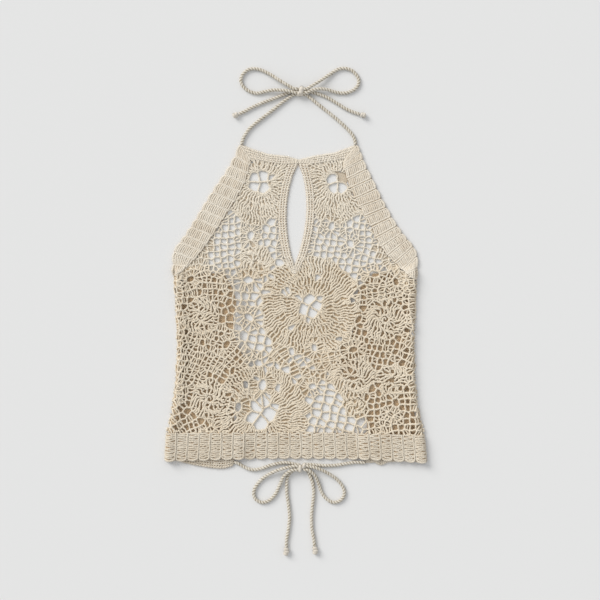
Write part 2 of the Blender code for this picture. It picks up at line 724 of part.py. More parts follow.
def add_sheet(name, outline, thickness, material, collection):
    """A flat piece on the surface: a filled outline with a thickness."""
    mesh = bmesh.new()
    mesh.faces.new([mesh.verts.new((x * MM, y * MM, 0.0)) for x, y in outline])
    return add_wall(name, mesh, thickness, material, collection)


def back_panel_outline(column):
    """The back panel of one side: column 1 is the left one and 2 the right one."""
    out = 1.0 if column == 1 else -1.0
    foot = BACK_HEM_TOP + SEAM
    ys = [foot, -196.0, -160.0, -110.0, -54.0, 10.0, BACK_TOP - BACK_CORNER[1]]
    side = [(look_up(SIDE_EDGE, y, column) + out * BACK_INSET, y) for y in ys]
    side.append((side[-1][0] + out * BACK_CORNER[0], BACK_TOP))
    inner = [(row[column], row[0]) for row in BACK_EDGE if foot < row[0] < BACK_TOP]
    top = (look_up(BACK_EDGE, BACK_TOP, column), BACK_TOP)
    return side + [top] + inner + [(look_up(BACK_EDGE, foot, column), foot)]


def add_cord(name, points, material, collection):
    """A stretch of cord: a round tube along a smooth line, with a straight length at each end."""
    line = spaced_line(smooth_line(points[1:-1], 12), CORD_STEP)
    line = [Vector(points[0]), *line, Vector(points[-1])]
    curve = bpy.data.curves.new(name, "CURVE")
    curve.dimensions = "3D"
    curve.bevel_depth = CORD_DIAMETER / 2 * MM
    curve.bevel_resolution = 2
    curve.use_fill_caps = True
    spline = curve.splines.new("POLY")
    spline.points.add(len(line) - 1)
    for point, place in zip(spline.points, line):
        point.co = (*(place * MM), 1.0)
    return add_object(name, curve, material, collection)


def add_knot(name, middle, size, material, collection):
    """A knot: a rounded block that stands on the surface."""
    mesh = bmesh.new()
    bmesh.ops.create_cube(mesh, size=1.0)
    for vert in mesh.verts:
        vert.co = Vector(a * b * MM for a, b in zip(vert.co, size))
    data = bpy.data.meshes.new(name)
    mesh.to_mesh(data)
    mesh.free()
    knot = add_object(name, data, material, collection)
    knot.location = (middle[0] * MM, middle[1] * MM, size[2] / 2 * MM)
    bevel = knot.modifiers.new("round", "BEVEL")
    bevel.width = KNOT_ROUNDING * min(size) * MM
    bevel.segments = 2
    return knot


def square_to_knot(points, knot):
    """The points, with one more where they leave a knot's side, so the cord ends square to it."""
    made = []
    for i, (x, y, z) in enumerate(points):
        made.append((x, y, z))
        if abs(x - knot[0]) < KNOT_SIZE[0] / 2 + 2 * SEAM and i in (0, len(points) - 1):
            out = math.copysign(KNOT_LEAD, x - knot[0])
            made.insert(len(made) - (1 if i else 0), (x + out, y, z))
    return made


def add_bow(name, knot, stretches, material, collection):
    """A bow: its knot, and the cord stretches that end at the knot or in an end knot."""
    add_knot(f"{name}_knot", knot, KNOT_SIZE, material, collection)
    for part, route in stretches.items():
        points = square_to_knot(route, knot)
        add_cord(f"{name}_{part}", points, material, collection)
        if part.startswith("end"):
            tip, before = Vector(points[-1]), Vector(points[-2])
            along = (tip - before).normalized()
            size = END_KNOTS[name]
            place = tip + along * (size[0] / 2 + SEAM)
            end = add_knot(f"{name}_{part}_knot", place.xy, size, material, collection)
            end.rotation_euler.z = math.atan2(along.y, along.x)


def neck_bow():
    """The stretches of the neck's bow. At the knot the loops lie on the straps and ends."""
    x, y = NECK_KNOT
    left, right = x - KNOT_SIZE[0] / 2 - SEAM, x + KNOT_SIZE[0] / 2 + SEAM
    return {
        "strap_left": (
            (-84.2, 251.8, LOW), (-80.5, 263.0, LOW), (-71.5, 276.0, LOW), (-57.0, 288.5, LOW),
            (-38.0, 303.0, LOW), (-20.5, 317.0, LOW), (-6.5, 327.0, LOW), (left, y - 4.6, LOW),
        ),
        "strap_right": (
            (92.6, 252.0, LOW), (91.4, 259.0, LOW), (87.5, 267.0, LOW), (76.0, 279.5, LOW),
            (61.5, 292.5, LOW), (46.5, 304.5, LOW), (31.5, 316.5, LOW), (20.0, 326.0, LOW),
            (right, y - 4.6, LOW),
        ),
        "loop_left": (
            (left, y + 3.4, HIGH), (-9.5, 341.0, HIGH), (-27.5, 352.0, 6.2), (-42.0, 361.5, 3.4),
            (-57.0, 368.0, LOW), (-70.0, 368.5, LOW), (-80.0, 362.5, LOW), (-85.0, 351.5, LOW),
            (-81.0, 341.0, LOW), (-71.5, 334.0, LOW), (-60.5, 331.0, LOW), (-49.0, 333.0, 3.2),
            (-34.5, 335.5, 5.8), (-18.0, 334.5, HIGH), (-6.0, 332.5, HIGH), (left, y - 2.3, HIGH),
        ),
        "loop_right": (
            (right, y + 3.4, HIGH), (24.5, 341.5, HIGH), (39.0, 350.5, 6.2), (54.0, 361.0, 3.4),
            (64.5, 367.5, LOW), (76.0, 369.5, LOW), (88.0, 365.5, LOW), (96.5, 355.0, LOW),
            (97.0, 344.5, LOW), (89.5, 336.0, LOW), (77.5, 331.5, LOW), (64.0, 332.0, 3.0),
            (49.5, 336.0, 5.6), (36.0, 337.0, HIGH), (24.0, 334.5, HIGH), (right, y - 2.3, HIGH),
        ),
        "end_left": (
            (left, y + 1.0, LOW), (-10.0, 332.0, LOW), (-22.0, 327.5, LOW), (-37.0, 321.5, LOW),
            (-52.0, 316.0, LOW), (-66.5, 309.5, LOW), (-79.5, 302.5, LOW), (-88.0, 299.0, LOW),
        ),
        "end_right": (
            (right, y + 1.0, LOW), (22.0, 333.0, LOW), (33.0, 330.5, LOW), (47.0, 325.0, LOW),
            (61.5, 317.0, LOW), (76.5, 307.5, LOW), (89.5, 301.5, LOW), (99.0, 298.5, LOW),
        ),
    }


def back_bow():
    """The stretches of the bow below the hem, which ties the two back hem bands together."""
    x, y = BACK_KNOT
    left, right = x - KNOT_SIZE[0] / 2 - SEAM, x + KNOT_SIZE[0] / 2 + SEAM
    return {
        "strap_left": (
            (-95.6, -240.3, LOW), (-90.0, -241.4, LOW), (-76.0, -249.5, LOW),
            (-65.0, -252.0, LOW), (-53.0, -250.0, LOW), (-37.0, -244.5, LOW),
            (-20.0, -241.0, LOW), (-6.0, -242.0, LOW), (left, y + 4.6, LOW),
        ),
        "strap_right": (
            (107.7, -240.9, LOW), (92.5, -240.4, LOW), (79.0, -242.3, LOW), (63.5, -244.8, LOW),
            (47.0, -245.5, LOW), (31.0, -244.5, LOW), (20.0, -243.5, LOW), (right, y + 4.6, LOW),
        ),
        "loop_left": (
            (left, y + 2.3, HIGH), (-7.0, -246.5, HIGH), (-19.0, -249.5, HIGH),
            (-34.5, -255.0, 6.0), (-50.5, -265.0, 3.2), (-61.5, -277.5, LOW), (-65.0, -288.5, LOW),
            (-61.5, -298.0, LOW), (-52.0, -302.5, LOW), (-41.0, -299.5, LOW), (-31.5, -290.0, LOW),
            (-25.0, -276.0, 3.4), (-18.5, -262.0, 6.4), (-9.0, -253.5, HIGH),
            (left, y - 3.4, HIGH),
        ),
        "loop_right": (
            (right, y + 2.3, HIGH), (22.5, -246.5, HIGH), (34.5, -249.5, HIGH),
            (50.0, -257.0, 6.0), (64.5, -267.5, 3.2), (73.5, -279.5, LOW), (75.0, -291.0, LOW),
            (69.0, -299.5, LOW), (59.0, -302.5, LOW), (49.5, -298.5, LOW), (41.0, -288.5, LOW),
            (36.0, -274.5, 3.6), (30.5, -261.5, 6.6), (22.5, -253.5, HIGH),
            (right, y - 3.4, HIGH),
        ),
        "end_left": (
            (left, y - 1.2, LOW), (-5.0, -253.5, LOW), (-12.0, -261.5, LOW), (-13.8, -274.0, LOW),
            (-13.5, -289.0, LOW), (-11.0, -308.0, LOW), (-9.5, -326.0, LOW), (-11.5, -345.0, LOW),
            (-14.0, -360.0, LOW), (-14.4, -371.0, LOW),
        ),
        "end_right": (
            (right, y - 1.2, LOW), (19.5, -255.0, LOW), (23.0, -263.0, LOW), (26.5, -274.0, LOW),
            (28.0, -289.0, LOW), (26.0, -308.0, LOW), (24.5, -326.0, LOW), (25.5, -345.0, LOW),
            (28.0, -359.0, LOW), (29.2, -369.5, LOW),
        ),
    }


def hem_rails():
    """The foot and the top of the front's hem band, with a point at each groove."""
    rails = []
    for points in (HEM_FOOT, HEM_TOP):
        rail = []
        for i in range(HEM_RIBS + 1):
            x = points[0][0] + i / HEM_RIBS * (points[-1][0] - points[0][0])
            rail.append((x, look_up(points, x, 1)))
        rails.append(rail)
    return rails


def band_rails(table):
    """The two rails of a band that is given as rows of outer x, y and inner x, y."""
    return [row[:2] for row in table], [row[2:] for row in table]


def build():
    clear_scene()
    top = bpy.data.collections.new("crochet_top")
    bpy.context.scene.collection.children.link(top)
    cream = make_material("cotton_cream", CREAM, 0.9)
    shaded = make_material("cotton_back", SHADED, 0.9)
    cord = make_material("cotton_cord", CREAM, 0.85)

    ribbed = (BAND_THICK, RIB_RISE, SCALLOP, 4)
    close = (EDGING_THICK - EDGING_RISE, EDGING_RISE, 0.0, 2)
    add_lace(cream, top)
    ribbed_band("keyhole_edge_left", keyhole_rails(-1), KEYHOLE_STITCHES, close, cream, top)
    ribbed_band("keyhole_edge_right", keyhole_rails(1), KEYHOLE_STITCHES, close, cream, top)
    ribbed_band("neck_band", (NECK_EDGE, NECK_FOOT), NECK_STITCHES, close, cream, top)
    ribbed_band("arm_band_left", band_rails(ARM_LEFT), 1, ribbed, cream, top)
    ribbed_band("arm_band_right", band_rails(ARM_RIGHT), 1, ribbed, cream, top)
    ribbed_band("hem_band", hem_rails(), 1, ribbed, cream, top)

    for name, column in (("back_panel_left", 1), ("back_panel_right", 2)):
        add_sheet(name, back_panel_outline(column), PANEL_THICK, shaded, top)
    flatter = (BAND_THICK, RIB_RISE, BACK_SCALLOP, 4)
    for name, table in (("back_hem_left", BACK_HEM_LEFT), ("back_hem_right", BACK_HEM_RIGHT)):
        ribbed_band(name, band_rails(table), 1, flatter, shaded, top, on_surface)
    add_bow("neck", NECK_KNOT, neck_bow(), cord, top)
    add_bow("back", BACK_KNOT, back_bow(), cord, top)


build()
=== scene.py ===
"""Looks of the crochet halter top: every yarn of the openwork front, the stitches of its
bands, the back panels seen through it, the twisted ties, and a pale studio floor.

Lengths are in millimetres, and add_piece turns them into Blender's metres. A complex number
is a place on the surface, x + yj.
"""

import cmath
import math
import random
from itertools import combinations, groupby

import bpy
import numpy as np
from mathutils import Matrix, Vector, kdtree


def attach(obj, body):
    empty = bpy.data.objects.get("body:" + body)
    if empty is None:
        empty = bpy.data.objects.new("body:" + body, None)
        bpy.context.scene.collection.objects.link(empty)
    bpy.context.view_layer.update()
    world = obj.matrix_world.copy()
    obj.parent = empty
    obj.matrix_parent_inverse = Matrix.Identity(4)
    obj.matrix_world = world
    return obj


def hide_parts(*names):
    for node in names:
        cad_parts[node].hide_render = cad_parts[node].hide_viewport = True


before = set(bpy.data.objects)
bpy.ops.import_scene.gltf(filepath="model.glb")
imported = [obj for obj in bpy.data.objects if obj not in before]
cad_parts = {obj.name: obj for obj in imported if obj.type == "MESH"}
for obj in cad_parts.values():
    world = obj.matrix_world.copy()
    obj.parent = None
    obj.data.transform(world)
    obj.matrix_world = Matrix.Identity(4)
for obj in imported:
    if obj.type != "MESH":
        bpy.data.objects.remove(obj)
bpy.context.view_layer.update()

MM = 0.001

# ---------------------------------------------------------------- sizes shared with the part

SEAM = 0.3
PANEL_THICK = 2.2
BAND_THICK = 2.4
RIB_RISE = 1.3
EDGING_THICK = 2.8
EDGING_RISE = 0.7
KEYHOLE_WIDTH = 31.5
EDGING_WIDTH = 12.5
CORD_DIAMETER = 5.2
LAYER_CLEARANCE = 0.7
SIDE_PUFF = 4.4
HEM_FLATTER = 0.35
SIDE_ROLL = 4.0
PUFF_PLACE = (7.0, 10.0)
BACK_INSET = 8.0
SETTLE = 24.0
BACK_TOP = 52.0
BACK_CORNER = (22.0, 18.0)
BACK_HEM_TOP = -203.5

SIDE_EDGE = (  # y, x of the left edge, x of the right edge
    (48.0, -188.0, 187.0), (10.0, -186.5, 185.5), (-54.0, -183.0, 183.5), (-110.0, -185.5, 184.5),
    (-147.0, -190.0, 188.0), (-175.0, -194.5, 193.0), (-194.0, -198.5, 196.5),
    (-196.0, -200.0, 199.0), (-238.0, -203.5, 203.5),
)
BACK_EDGE = (  # y, x where the left back panel ends, x where the right one ends
    (64.0, -120.0, 128.0), (46.0, -108.0, 116.0), (28.0, -98.0, 98.0), (8.0, -92.0, 92.0),
    (-16.0, -97.0, 94.0), (-42.0, -97.0, 88.0), (-64.0, -88.0, 66.0), (-84.0, -78.0, 60.0),
    (-104.0, -78.0, 74.0), (-126.0, -84.0, 90.0), (-150.0, -97.0, 104.0), (-175.0, -96.0, 110.0),
    (-200.0, -90.0, 112.0), (-250.0, -90.0, 112.0),
)
ARM_LEFT = (  # outer x, y and inner x, y of each line between two ribs, from the neck down
    (-85.5, 251.0, -69.5, 228.0), (-92.2, 233.0, -71.0, 220.0), (-100.5, 218.5, -73.8, 207.5),
    (-109.0, 204.8, -78.7, 192.0), (-118.0, 192.2, -86.1, 178.3), (-127.8, 177.8, -94.5, 163.6),
    (-136.7, 163.4, -104.1, 149.0), (-144.8, 150.0, -112.3, 136.2), (-152.9, 136.3, -120.7, 123.0),
    (-161.0, 123.7, -128.8, 110.5), (-169.5, 110.5, -138.0, 97.3), (-178.0, 99.8, -146.0, 86.4),
    (-187.8, 86.0, -156.4, 73.5), (-189.0, 66.0, -167.5, 62.7), (-188.5, 48.0, -176.0, 55.5),
)
ARM_RIGHT = (
    (94.0, 251.0, 76.0, 228.0), (98.9, 240.3, 75.0, 221.0), (103.2, 228.5, 74.3, 213.5),
    (109.7, 213.2, 79.5, 198.5), (117.2, 198.9, 84.5, 184.0), (124.8, 183.0, 92.5, 168.0),
    (131.8, 167.9, 98.5, 155.2), (139.5, 154.2, 107.5, 140.7), (147.4, 139.2, 117.0, 124.4),
    (156.5, 125.1, 124.0, 107.5), (164.0, 114.0, 132.3, 92.6), (172.4, 104.0, 142.0, 79.5),
    (181.5, 93.3, 153.0, 68.8), (187.6, 79.0, 165.2, 57.2), (187.4, 60.5, 171.0, 51.7),
    (186.0, 42.0, 176.0, 47.0),
)
ARM_FEET = (-188.5 + 46.5j, 186.5 + 41.0j)  # where the openwork's side meets an armhole band
NECK_EDGE = (  # x, y along the top of the front
    (-85.2, 251.3), (-63.0, 243.0), (-42.5, 236.5), (-13.5, 233.5), (5.0, 227.5), (31.5, 234.5),
    (61.0, 239.0), (93.7, 251.3),
)
NECK_FOOT = (  # x, y along the seam between the neck band and the openwork
    (-69.2, 228.3), (-58.0, 227.5), (-40.5, 223.7), (-14.0, 221.0), (4.5, 222.5), (30.0, 221.8),
    (57.5, 226.5), (75.8, 228.3),
)
KEYHOLE_TOP = (4.0, 222.1)
KEYHOLE_FOOT = (-2.0, 64.0)
KEYHOLE_SPANS = 10
HEM_RIBS = 23
HEM_TOP = ((-200.5, -194.5), (-110.0, -194.0), (0.0, -194.5), (110.0, -195.5), (199.5, -198.5))
HEM_FOOT = ((-203.5, -237.0), (-110.0, -234.0), (0.0, -232.5), (110.0, -234.0), (203.5, -239.5))
BACK_HEM_LEFT = (  # outer x, y at the foot and inner x, y at the top of each line between ribs
    (-195.0, -235.0, -191.5, -203.5), (-180.0, -239.0, -176.5, -203.5),
    (-163.0, -243.0, -159.5, -203.5), (-146.0, -246.5, -142.5, -203.5),
    (-129.0, -249.0, -125.5, -203.5), (-112.0, -250.0, -108.0, -203.5),
    (-97.0, -245.5, -90.5, -203.5),
)
BACK_HEM_RIGHT = (
    (108.0, -241.0, 112.0, -203.5), (121.5, -240.0, 124.0, -203.5), (131.5, -245.0, 135.5, -203.5),
    (143.0, -240.0, 147.5, -203.5), (159.5, -238.5, 161.5, -203.5), (176.5, -237.0, 177.0, -203.5),
    (194.5, -236.0, 191.0, -203.5),
)
MOTIFS = (  # middle, radius of the eye, outer radius, pitch of the spokes, pitch of the rings
    (22.0 + 1.5j, 21.5, 78.0, 4.2, 12.5),
    (-55.0 - 166.0j, 28.0, 78.0, 4.2, 13.0),
    (-56.0 + 193.5j, 21.5, 66.0, 4.0, 10.0),
    (65.0 + 193.0j, 21.5, 63.0, 4.0, 10.0),
    (92.0 - 156.0j, 3.2, 14.0, 4.0, 5.0),
    (-62.0 + 70.0j, 4.0, 27.0, 4.0, 10.0),
    (-147.0 - 15.0j, 8.0, 30.0, 4.6, 9.5),
    (-133.0 - 142.0j, 8.5, 33.0, 4.6, 10.0),
    (138.0 - 19.0j, 9.0, 33.0, 4.6, 9.5),
    (87.0 - 110.0j, 4.0, 36.0, 4.4, 12.0),
    (149.0 - 113.0j, 5.0, 26.0, 4.6, 9.0),
)
NETS = (  # name, middle, pitch across, pitch along, turn in degrees
    ("up_left", -78.5 + 96.0j, 10.4, 9.8, 4.0),
    ("up_right", 76.5 + 88.0j, 10.4, 9.6, -8.0),
    ("open_left", -74.0 - 23.0j, 12.8, 12.6, -10.0),
    ("low_right", 61.0 - 160.0j, 13.8, 11.8, -12.0),
    ("side_left", -156.0 + 11.0j, 7.6, 9.4, 4.0),
    ("waist_left", -164.0 - 82.0j, 7.2, 9.6, -20.0),
    ("hem_left", -164.0 - 175.0j, 7.8, 10.8, 25.0),
    ("side_right", 161.5 + 11.0j, 9.2, 7.4, 8.0),
    ("waist_right", 138.0 - 67.0j, 7.6, 9.8, -15.0),
    ("hem_right", 154.0 - 160.0j, 9.0, 9.6, 4.0),
    ("mid_left", -110.0 - 67.0j, 7.0, 8.8, -35.0),
    ("mid_low", 6.5 - 67.0j, 6.4, 12.0, -55.0),
)
WINDOWS = (  # middle and radius of each wide opening between the motifs
    (-51.5 - 121.0j, 9.5), (-89.0 - 155.0j, 7.5), (-74.0 + 42.0j, 8.0), (-72.5 - 16.0j, 8.0),
    (26.0 - 123.0j, 7.0), (55.5 + 125.5j, 7.0), (-163.0 + 43.0j, 6.5), (-107.0 - 58.0j, 7.0),
    (-171.0 - 129.5j, 5.5), (-131.0 - 189.0j, 5.5), (89.0 - 66.0j, 7.0), (155.0 + 39.0j, 6.5),
    (121.0 + 51.0j, 7.5), (147.0 - 166.0j, 5.5), (29.0 - 63.0j, 6.5), (85.0 + 98.0j, 7.5),
    (-70.0 + 111.0j, 7.5),
)
EYE_PARTS = (0.55 + 0.35j, -0.2 + 0.55j, -0.6 + 0.0j, 0.05 - 0.62j)
LARGE_EYE = 12.0
LOBES = 5
LOBE_DEPTH = 0.16
SWIRL = 0.05
WINDOW_RING = 1.9
WINDOW_PITCH = 6.2
WINDOW_SPACE = 2.5
SITE_SPACE = 4.0
LACE_FIELD = ((-205.0, -205.0), (205.0, 235.0))
NET_REACH = 30
NEIGHBOURS = 30
MOST_GAPS = 290
LEAST_GAP = 4.0
STRAND = 3.0
CLOSE_REACH = 12.0
CLOSE_TOP = 100.0
CLOSE_SIDE = 9.0
SHORT_SIDE = 2.6
LEAST_TURN = 0.12

NECK_KNOT = (7.5, 333.5)
BACK_KNOT = (8.8, -248.0)
KNOT_SIZE = (11.0, 16.0, 12.2)
KNOT_LEAD = 4.5
END_KNOTS = {"neck": (9.4, 8.4, 8.2), "back": (12.6, 8.6, 8.2)}
LOW = CORD_DIAMETER / 2 + 0.05
HIGH = LOW + CORD_DIAMETER + 0.35

# ---------------------------------------------------------------- sizes of the yarn and stitches

NET_YARN = 1.35  # radius of the thread in the open mesh
YOKE_THINNER = 0.88  # and how much thinner that is in the yoke
MOTIF_YARN = 1.45  # and in the close motifs
LINK_YARN = 1.15  # and of the short links between a motif's spokes
LINK_SINK = 0.5  # how much lower those lie
LINK_PITCH = 0.85  # from one link to the next, in pitches of the motif's rings
FORK_WIDTH = 1.4  # width at which a space between two spokes forks, in pitches of the spokes
FORK_LENGTH = 6.0
SPOKE_REACH = 1.12  # how far the spokes run, in outer radiuses of their motif
SPOKE_STEP = 1.1
SPOKE_SWIRL = 0.3
SPOKE_WAVES = ((SPOKE_SWIRL, 1.1), (3 * SPOKE_SWIRL, 2.6))  # swirl and sway: large, small motif
LEAST_CURL = 7.0  # radius of the eye from which a small motif has a curl of thread in it
OUTER_CELLS = 14.0  # openings with their middle this far outside still lend the edge threads
YARN_STEP = 1.55  # between two rings of a thread's mesh
PLIES = 2
PLY_TURN = 4.6  # length in which the two plies of a thread turn once round each other
THREAD_HEIGHT = 1.75  # of a thread's middle over the underside
GROUND_TOP = 0.75  # of the ground's face over the underside
GROUND_FOOT = 0.15
BROAD_SLOT = 5.0  # an opening wider than this may have a thread down its middle
LONG_SLOT = 7.5  # and one longer than this may have a thread across it
EXTRA_SHARE = 0.55  # share of those openings that have one
SHORT_THREAD = 1.5  # a thread shorter than this between two crossings is drawn as one crossing
STRAIGHT_ON = math.cos(math.radians(62.0))  # most that a thread turns where it crosses another
KNOT_SWELL = 0.28  # how much thicker a thread is at a crossing
LACE_TUCK = 1.3  # how far a thread of the openwork runs in under a band
YOKE_LINE = 62.0  # above this height the openwork is the yoke's piece
RIBS = (BAND_THICK, RIB_RISE)
EDGING = (EDGING_THICK - EDGING_RISE, EDGING_RISE, 0.0)
SHELL_DROP = 0.75  # the wall under a band's stitches lies this far under their face
SHELL_SHARES = (0.0, 0.05, 0.13, 0.3, 0.5, 0.7, 0.87, 0.95, 1.0)  # its points across a band
SHELL_STEPS = 8  # and its sections to a rib
STITCH_YARN = 1.45  # radius of the yarn that the bands are worked in
CHAIN_YARN = 1.25  # and of the chain down both sides of a rib
CHAIN_FOOT = ((0.1, 0.055), (0.25, 0.03), (0.5, 0.02), (0.75, 0.03), (0.9, 0.055))
SEAM_YARN = 1.0  # and of the thread in the groove between two ribs, painted dark as the groove's shade
GROOVE_SHADE = 0.1
STITCH_PITCH = 3.1  # from one row of a rib's stitches to the next
STITCH_TILT = 0.9  # how far a row of a rib leans
FULL_RIB = 13.0  # width at its top below which a rib's crowded stitches are painted darker, as shade
CLOSE_ROW = 3.1  # from one row of the close back panels to the next
EDGING_WAVE = 4.4  # length of a wave in the chains of a close edging
POST_PITCH = 3.7  # from one post to the next
CORD_TURN = -9.2  # length in which a cord's two plies turn once, the other way than a yarn's
KNOT_DIP = 2.6  # how far a cord sinks on its way through a knot
BOW_WRAPS = {  # along, across, lean, length, radius
    "neck": ((0.5, 0.3, 0.22, 16.8, 3.9), (-3.2, -4.2, 0.1, 8.0, 2.2)),
    "back": ((-2.6, -1.7, 0.04, 13.0, 2.7), (3.3, 2.6, 0.42, 10.4, 2.5)),
}
TIP_WRAPS = {
    "neck": ((-1.6, 0.0, 0.2, 8.2, 2.6), (1.7, 0.0, -0.2, 9.0, 2.8)),
    "back": ((-3.4, 0.0, 0.25, 8.2, 2.7), (0.8, 0.2, -0.3, 9.4, 3.0), (3.8, -0.6, 0.2, 8.0, 2.4)),
}

# ---------------------------------------------------------------- looks and the studio

COTTON = {  # light and dark, linear; the dark one is mixed in as painted shade in grooves and hollows, and as random tone
    "cream": ((0.84, 0.745, 0.60), (0.68, 0.555, 0.39)),
    "band": ((0.88, 0.81, 0.695), (0.64, 0.51, 0.355)),
    # the hem: the bands' yarn made darker, as painted shade over the hem band
    "hem": ((0.78, 0.705, 0.585), (0.56, 0.455, 0.32)),
    "pale": ((0.87, 0.795, 0.67), (0.73, 0.625, 0.48)),
    "cord": ((0.775, 0.73, 0.64), (0.33, 0.275, 0.195)),
    "knot": ((0.72, 0.67, 0.59), (0.40, 0.33, 0.24)),
    # the walls under the bands' stitches: browner, as painted shade between the stitches
    "under": ((0.67, 0.52, 0.36), (0.48, 0.34, 0.21)),
    # the back panels: the same yarn painted browner, as shade under the front
    "back": ((0.88, 0.71, 0.50), (0.60, 0.43, 0.26)),
    # the close ground behind the slots: real closed cloth, coloured as painted shade in the slots,
    # paler in the yoke
    "ground": ((0.79, 0.65, 0.465), (0.54, 0.40, 0.25)),
    "yoke_ground": ((0.90, 0.80, 0.655), (0.70, 0.575, 0.42)),
}
GROUND_ROW = 2.4
FLOOR = (0.80, 0.80, 0.795)
FLOOR_HALF = 6000.0
SKY = (0.97, 0.985, 1.0, 1.0)
SKY_STRENGTH = 0.62
SUN_PLACE = (-1.45, 1.3, 1.28)
SUN_COLOUR = (1.0, 0.985, 0.965)
SUN_STRENGTH = 2.16
SUN_SPREAD = 34.0
CAMERA_MIDDLE = (6.6, 10.9)  # the point of the surface in the middle of the picture
PICTURE_WIDTH = 930.0  # how much of the surface the picture shows
LENS = 85.0
SENSOR = 36.0


# ---------------------------------------------------------------- numbers, lines and outlines


def smoothstep(value):
    t = min(1.0, max(0.0, value))
    return t * t * (3.0 - 2.0 * t)


def stray(rng, most):
    """A random number from minus the most to the most."""
    return rng.uniform(-most, most)


def extent(values):
    values = list(values)
    return max(values) - min(values)


def look_up(table, key, column):
    """The value of a column of a table at a key between two rows of its first column."""
    rows = sorted(table)
    if key <= rows[0][0]:
        return rows[0][column]
    for low, high in zip(rows, rows[1:]):
        if key <= high[0]:
            share = (key - low[0]) / (high[0] - low[0])
            return low[column] + share * (high[column] - low[column])
    return rows[-1][column]


def edges(outline):
    """The two ends of each side of a closed outline."""
    return zip(outline, outline[1:] + outline[:1])


def crossings(outline, y):
    """Where a level line crosses a closed outline."""
    return [
        a.real + (y - a.imag) / (b.imag - a.imag) * (b.real - a.real)
        for a, b in edges(outline) if (a.imag > y) != (b.imag > y)
    ]


def inside(point, outline):
    return sum(point.real < x for x in crossings(outline, point.imag)) % 2 == 1


def nearest_on(point, outline):
    """The point of a closed outline nearest to a point."""
    feet = []
    for a, b in edges(outline):
        share = ((point - a) * (b - a).conjugate()).real / abs(b - a) ** 2
        feet.append(a + min(1.0, max(0.0, share)) * (b - a))
    return min(feet, key=lambda foot: abs(foot - point))


def from_outline(point, outline):
    return abs(nearest_on(point, outline) - point)


def cut_off(outline, over):
    """The part of a closed outline where a signed distance isn't negative."""
    kept = []
    for (a, over_a), (b, over_b) in edges([(point, over(point)) for point in outline]):
        if over_a >= 0.0:
            kept.append(a)
        if (over_a < 0.0) != (over_b < 0.0):
            kept.append(a + over_a / (over_a - over_b) * (b - a))
    return kept


def area_of(outline):
    return 0.5 * sum((a.conjugate() * b).imag for a, b in edges(outline))


def tree_of(points):
    """A search tree of complex points."""
    tree = kdtree.KDTree(len(points))
    for i, point in enumerate(points):
        tree.insert((point.real, point.imag, 0.0), i)
    tree.balance()
    return tree


def runs(items, kept):
    """The items that are kept, in unbroken runs."""
    return [list(group) for keep, group in groupby(items, kept) if keep]


def smooth_line(points, per_span):
    """A Catmull-Rom curve through the points, with their first and last points kept."""
    knots = [Vector(p) for p in points]
    knots = [2 * knots[0] - knots[1], *knots, 2 * knots[-1] - knots[-2]]
    line = []
    for a, b, c, d in zip(knots, knots[1:], knots[2:], knots[3:]):
        bend, ease = 2 * a - 5 * b + 4 * c - d, 3 * b - a - 3 * c + d
        for i in range(per_span):
            t = i / per_span
            line.append(0.5 * (2 * b + (c - a) * t + bend * t**2 + ease * t**3))
    return [*line, Vector(points[-1])]


def run_of(line):
    """How far along a line each of its points is."""
    steps = np.linalg.norm(np.diff(line, axis=0), axis=1)
    return np.concatenate(([0.0], np.cumsum(steps)))


def evenly(points, step):
    """The line through the points, as an array of points about a step apart."""
    line = np.array(points, dtype=float)
    run = run_of(line)
    at = np.linspace(0.0, run[-1], max(2, round(run[-1] / step)) + 1)
    return np.stack([np.interp(at, run, line[:, k]) for k in range(line.shape[1])], axis=1)


# ---------------------------------------------------------------- the form


def from_side(x, y):
    """Distance of a place from the side edge on its half of the front."""
    return abs(look_up(SIDE_EDGE, y, 1 if x < 0.0 else 2) - x)


def past_back(x, y):
    """How far a place is beyond the inner edge of the back panel on its half."""
    if x < 0.0:
        return x - look_up(BACK_EDGE, y, 1)
    return look_up(BACK_EDGE, y, 2) - x


def underside(x, y):
    """Height of the front's underside: on the surface in the middle and at the neck, over
    the back panels at the sides, and rolled down to the surface along each side edge."""
    aside = from_side(x, y)
    over_back = smoothstep((SETTLE - past_back(x, y)) / (SETTLE - 3.0))
    over_back *= smoothstep((BACK_TOP + 14.0 - y) / 12.0)
    rolled = smoothstep((aside - SEAM) / (SIDE_ROLL - SEAM))
    hem_share = smoothstep((-188.0 - y) / 8.0)
    layer = PANEL_THICK + hem_share * (BAND_THICK + RIB_RISE - PANEL_THICK) + LAYER_CLEARANCE
    puff = SIDE_PUFF * math.exp(-(((aside - PUFF_PLACE[0]) / PUFF_PLACE[1]) ** 2))
    return over_back * rolled * (layer + puff * (1.0 - HEM_FLATTER * hem_share))


def on_surface(x, y):
    """Height of the underside of a piece that lies on the surface."""
    return 0.0


def keyhole_rails(side):
    """The slit's edge and the outer edge of its edging, down one side (-1 or 1) to the foot."""
    (top_x, top_y), (foot_x, foot_y) = KEYHOLE_TOP, KEYHOLE_FOOT
    slit, outer = [], []
    for i in range(KEYHOLE_SPANS):
        share = i / (KEYHOLE_SPANS - 1)
        x, y = top_x + share * (foot_x - top_x), top_y + share * (foot_y - top_y)
        half = 0.5 * KEYHOLE_WIDTH * math.sin(math.pi * share**0.9) ** 0.8
        slit.append((x + side * max(half, SEAM / 2), y))
        outer.append((x + side * (half + EDGING_WIDTH), y))
    corner = top_x + side * (EDGING_WIDTH + 3.3)
    outer[0] = (corner, look_up(NECK_FOOT, corner, 1) - SEAM)
    outer[-1] = (foot_x + side * 0.6 * EDGING_WIDTH, foot_y - 6.0)
    slit.append((foot_x + side * SEAM / 2, foot_y - EDGING_WIDTH))
    outer.append((foot_x + side * 1.2, foot_y - EDGING_WIDTH))
    return slit, outer


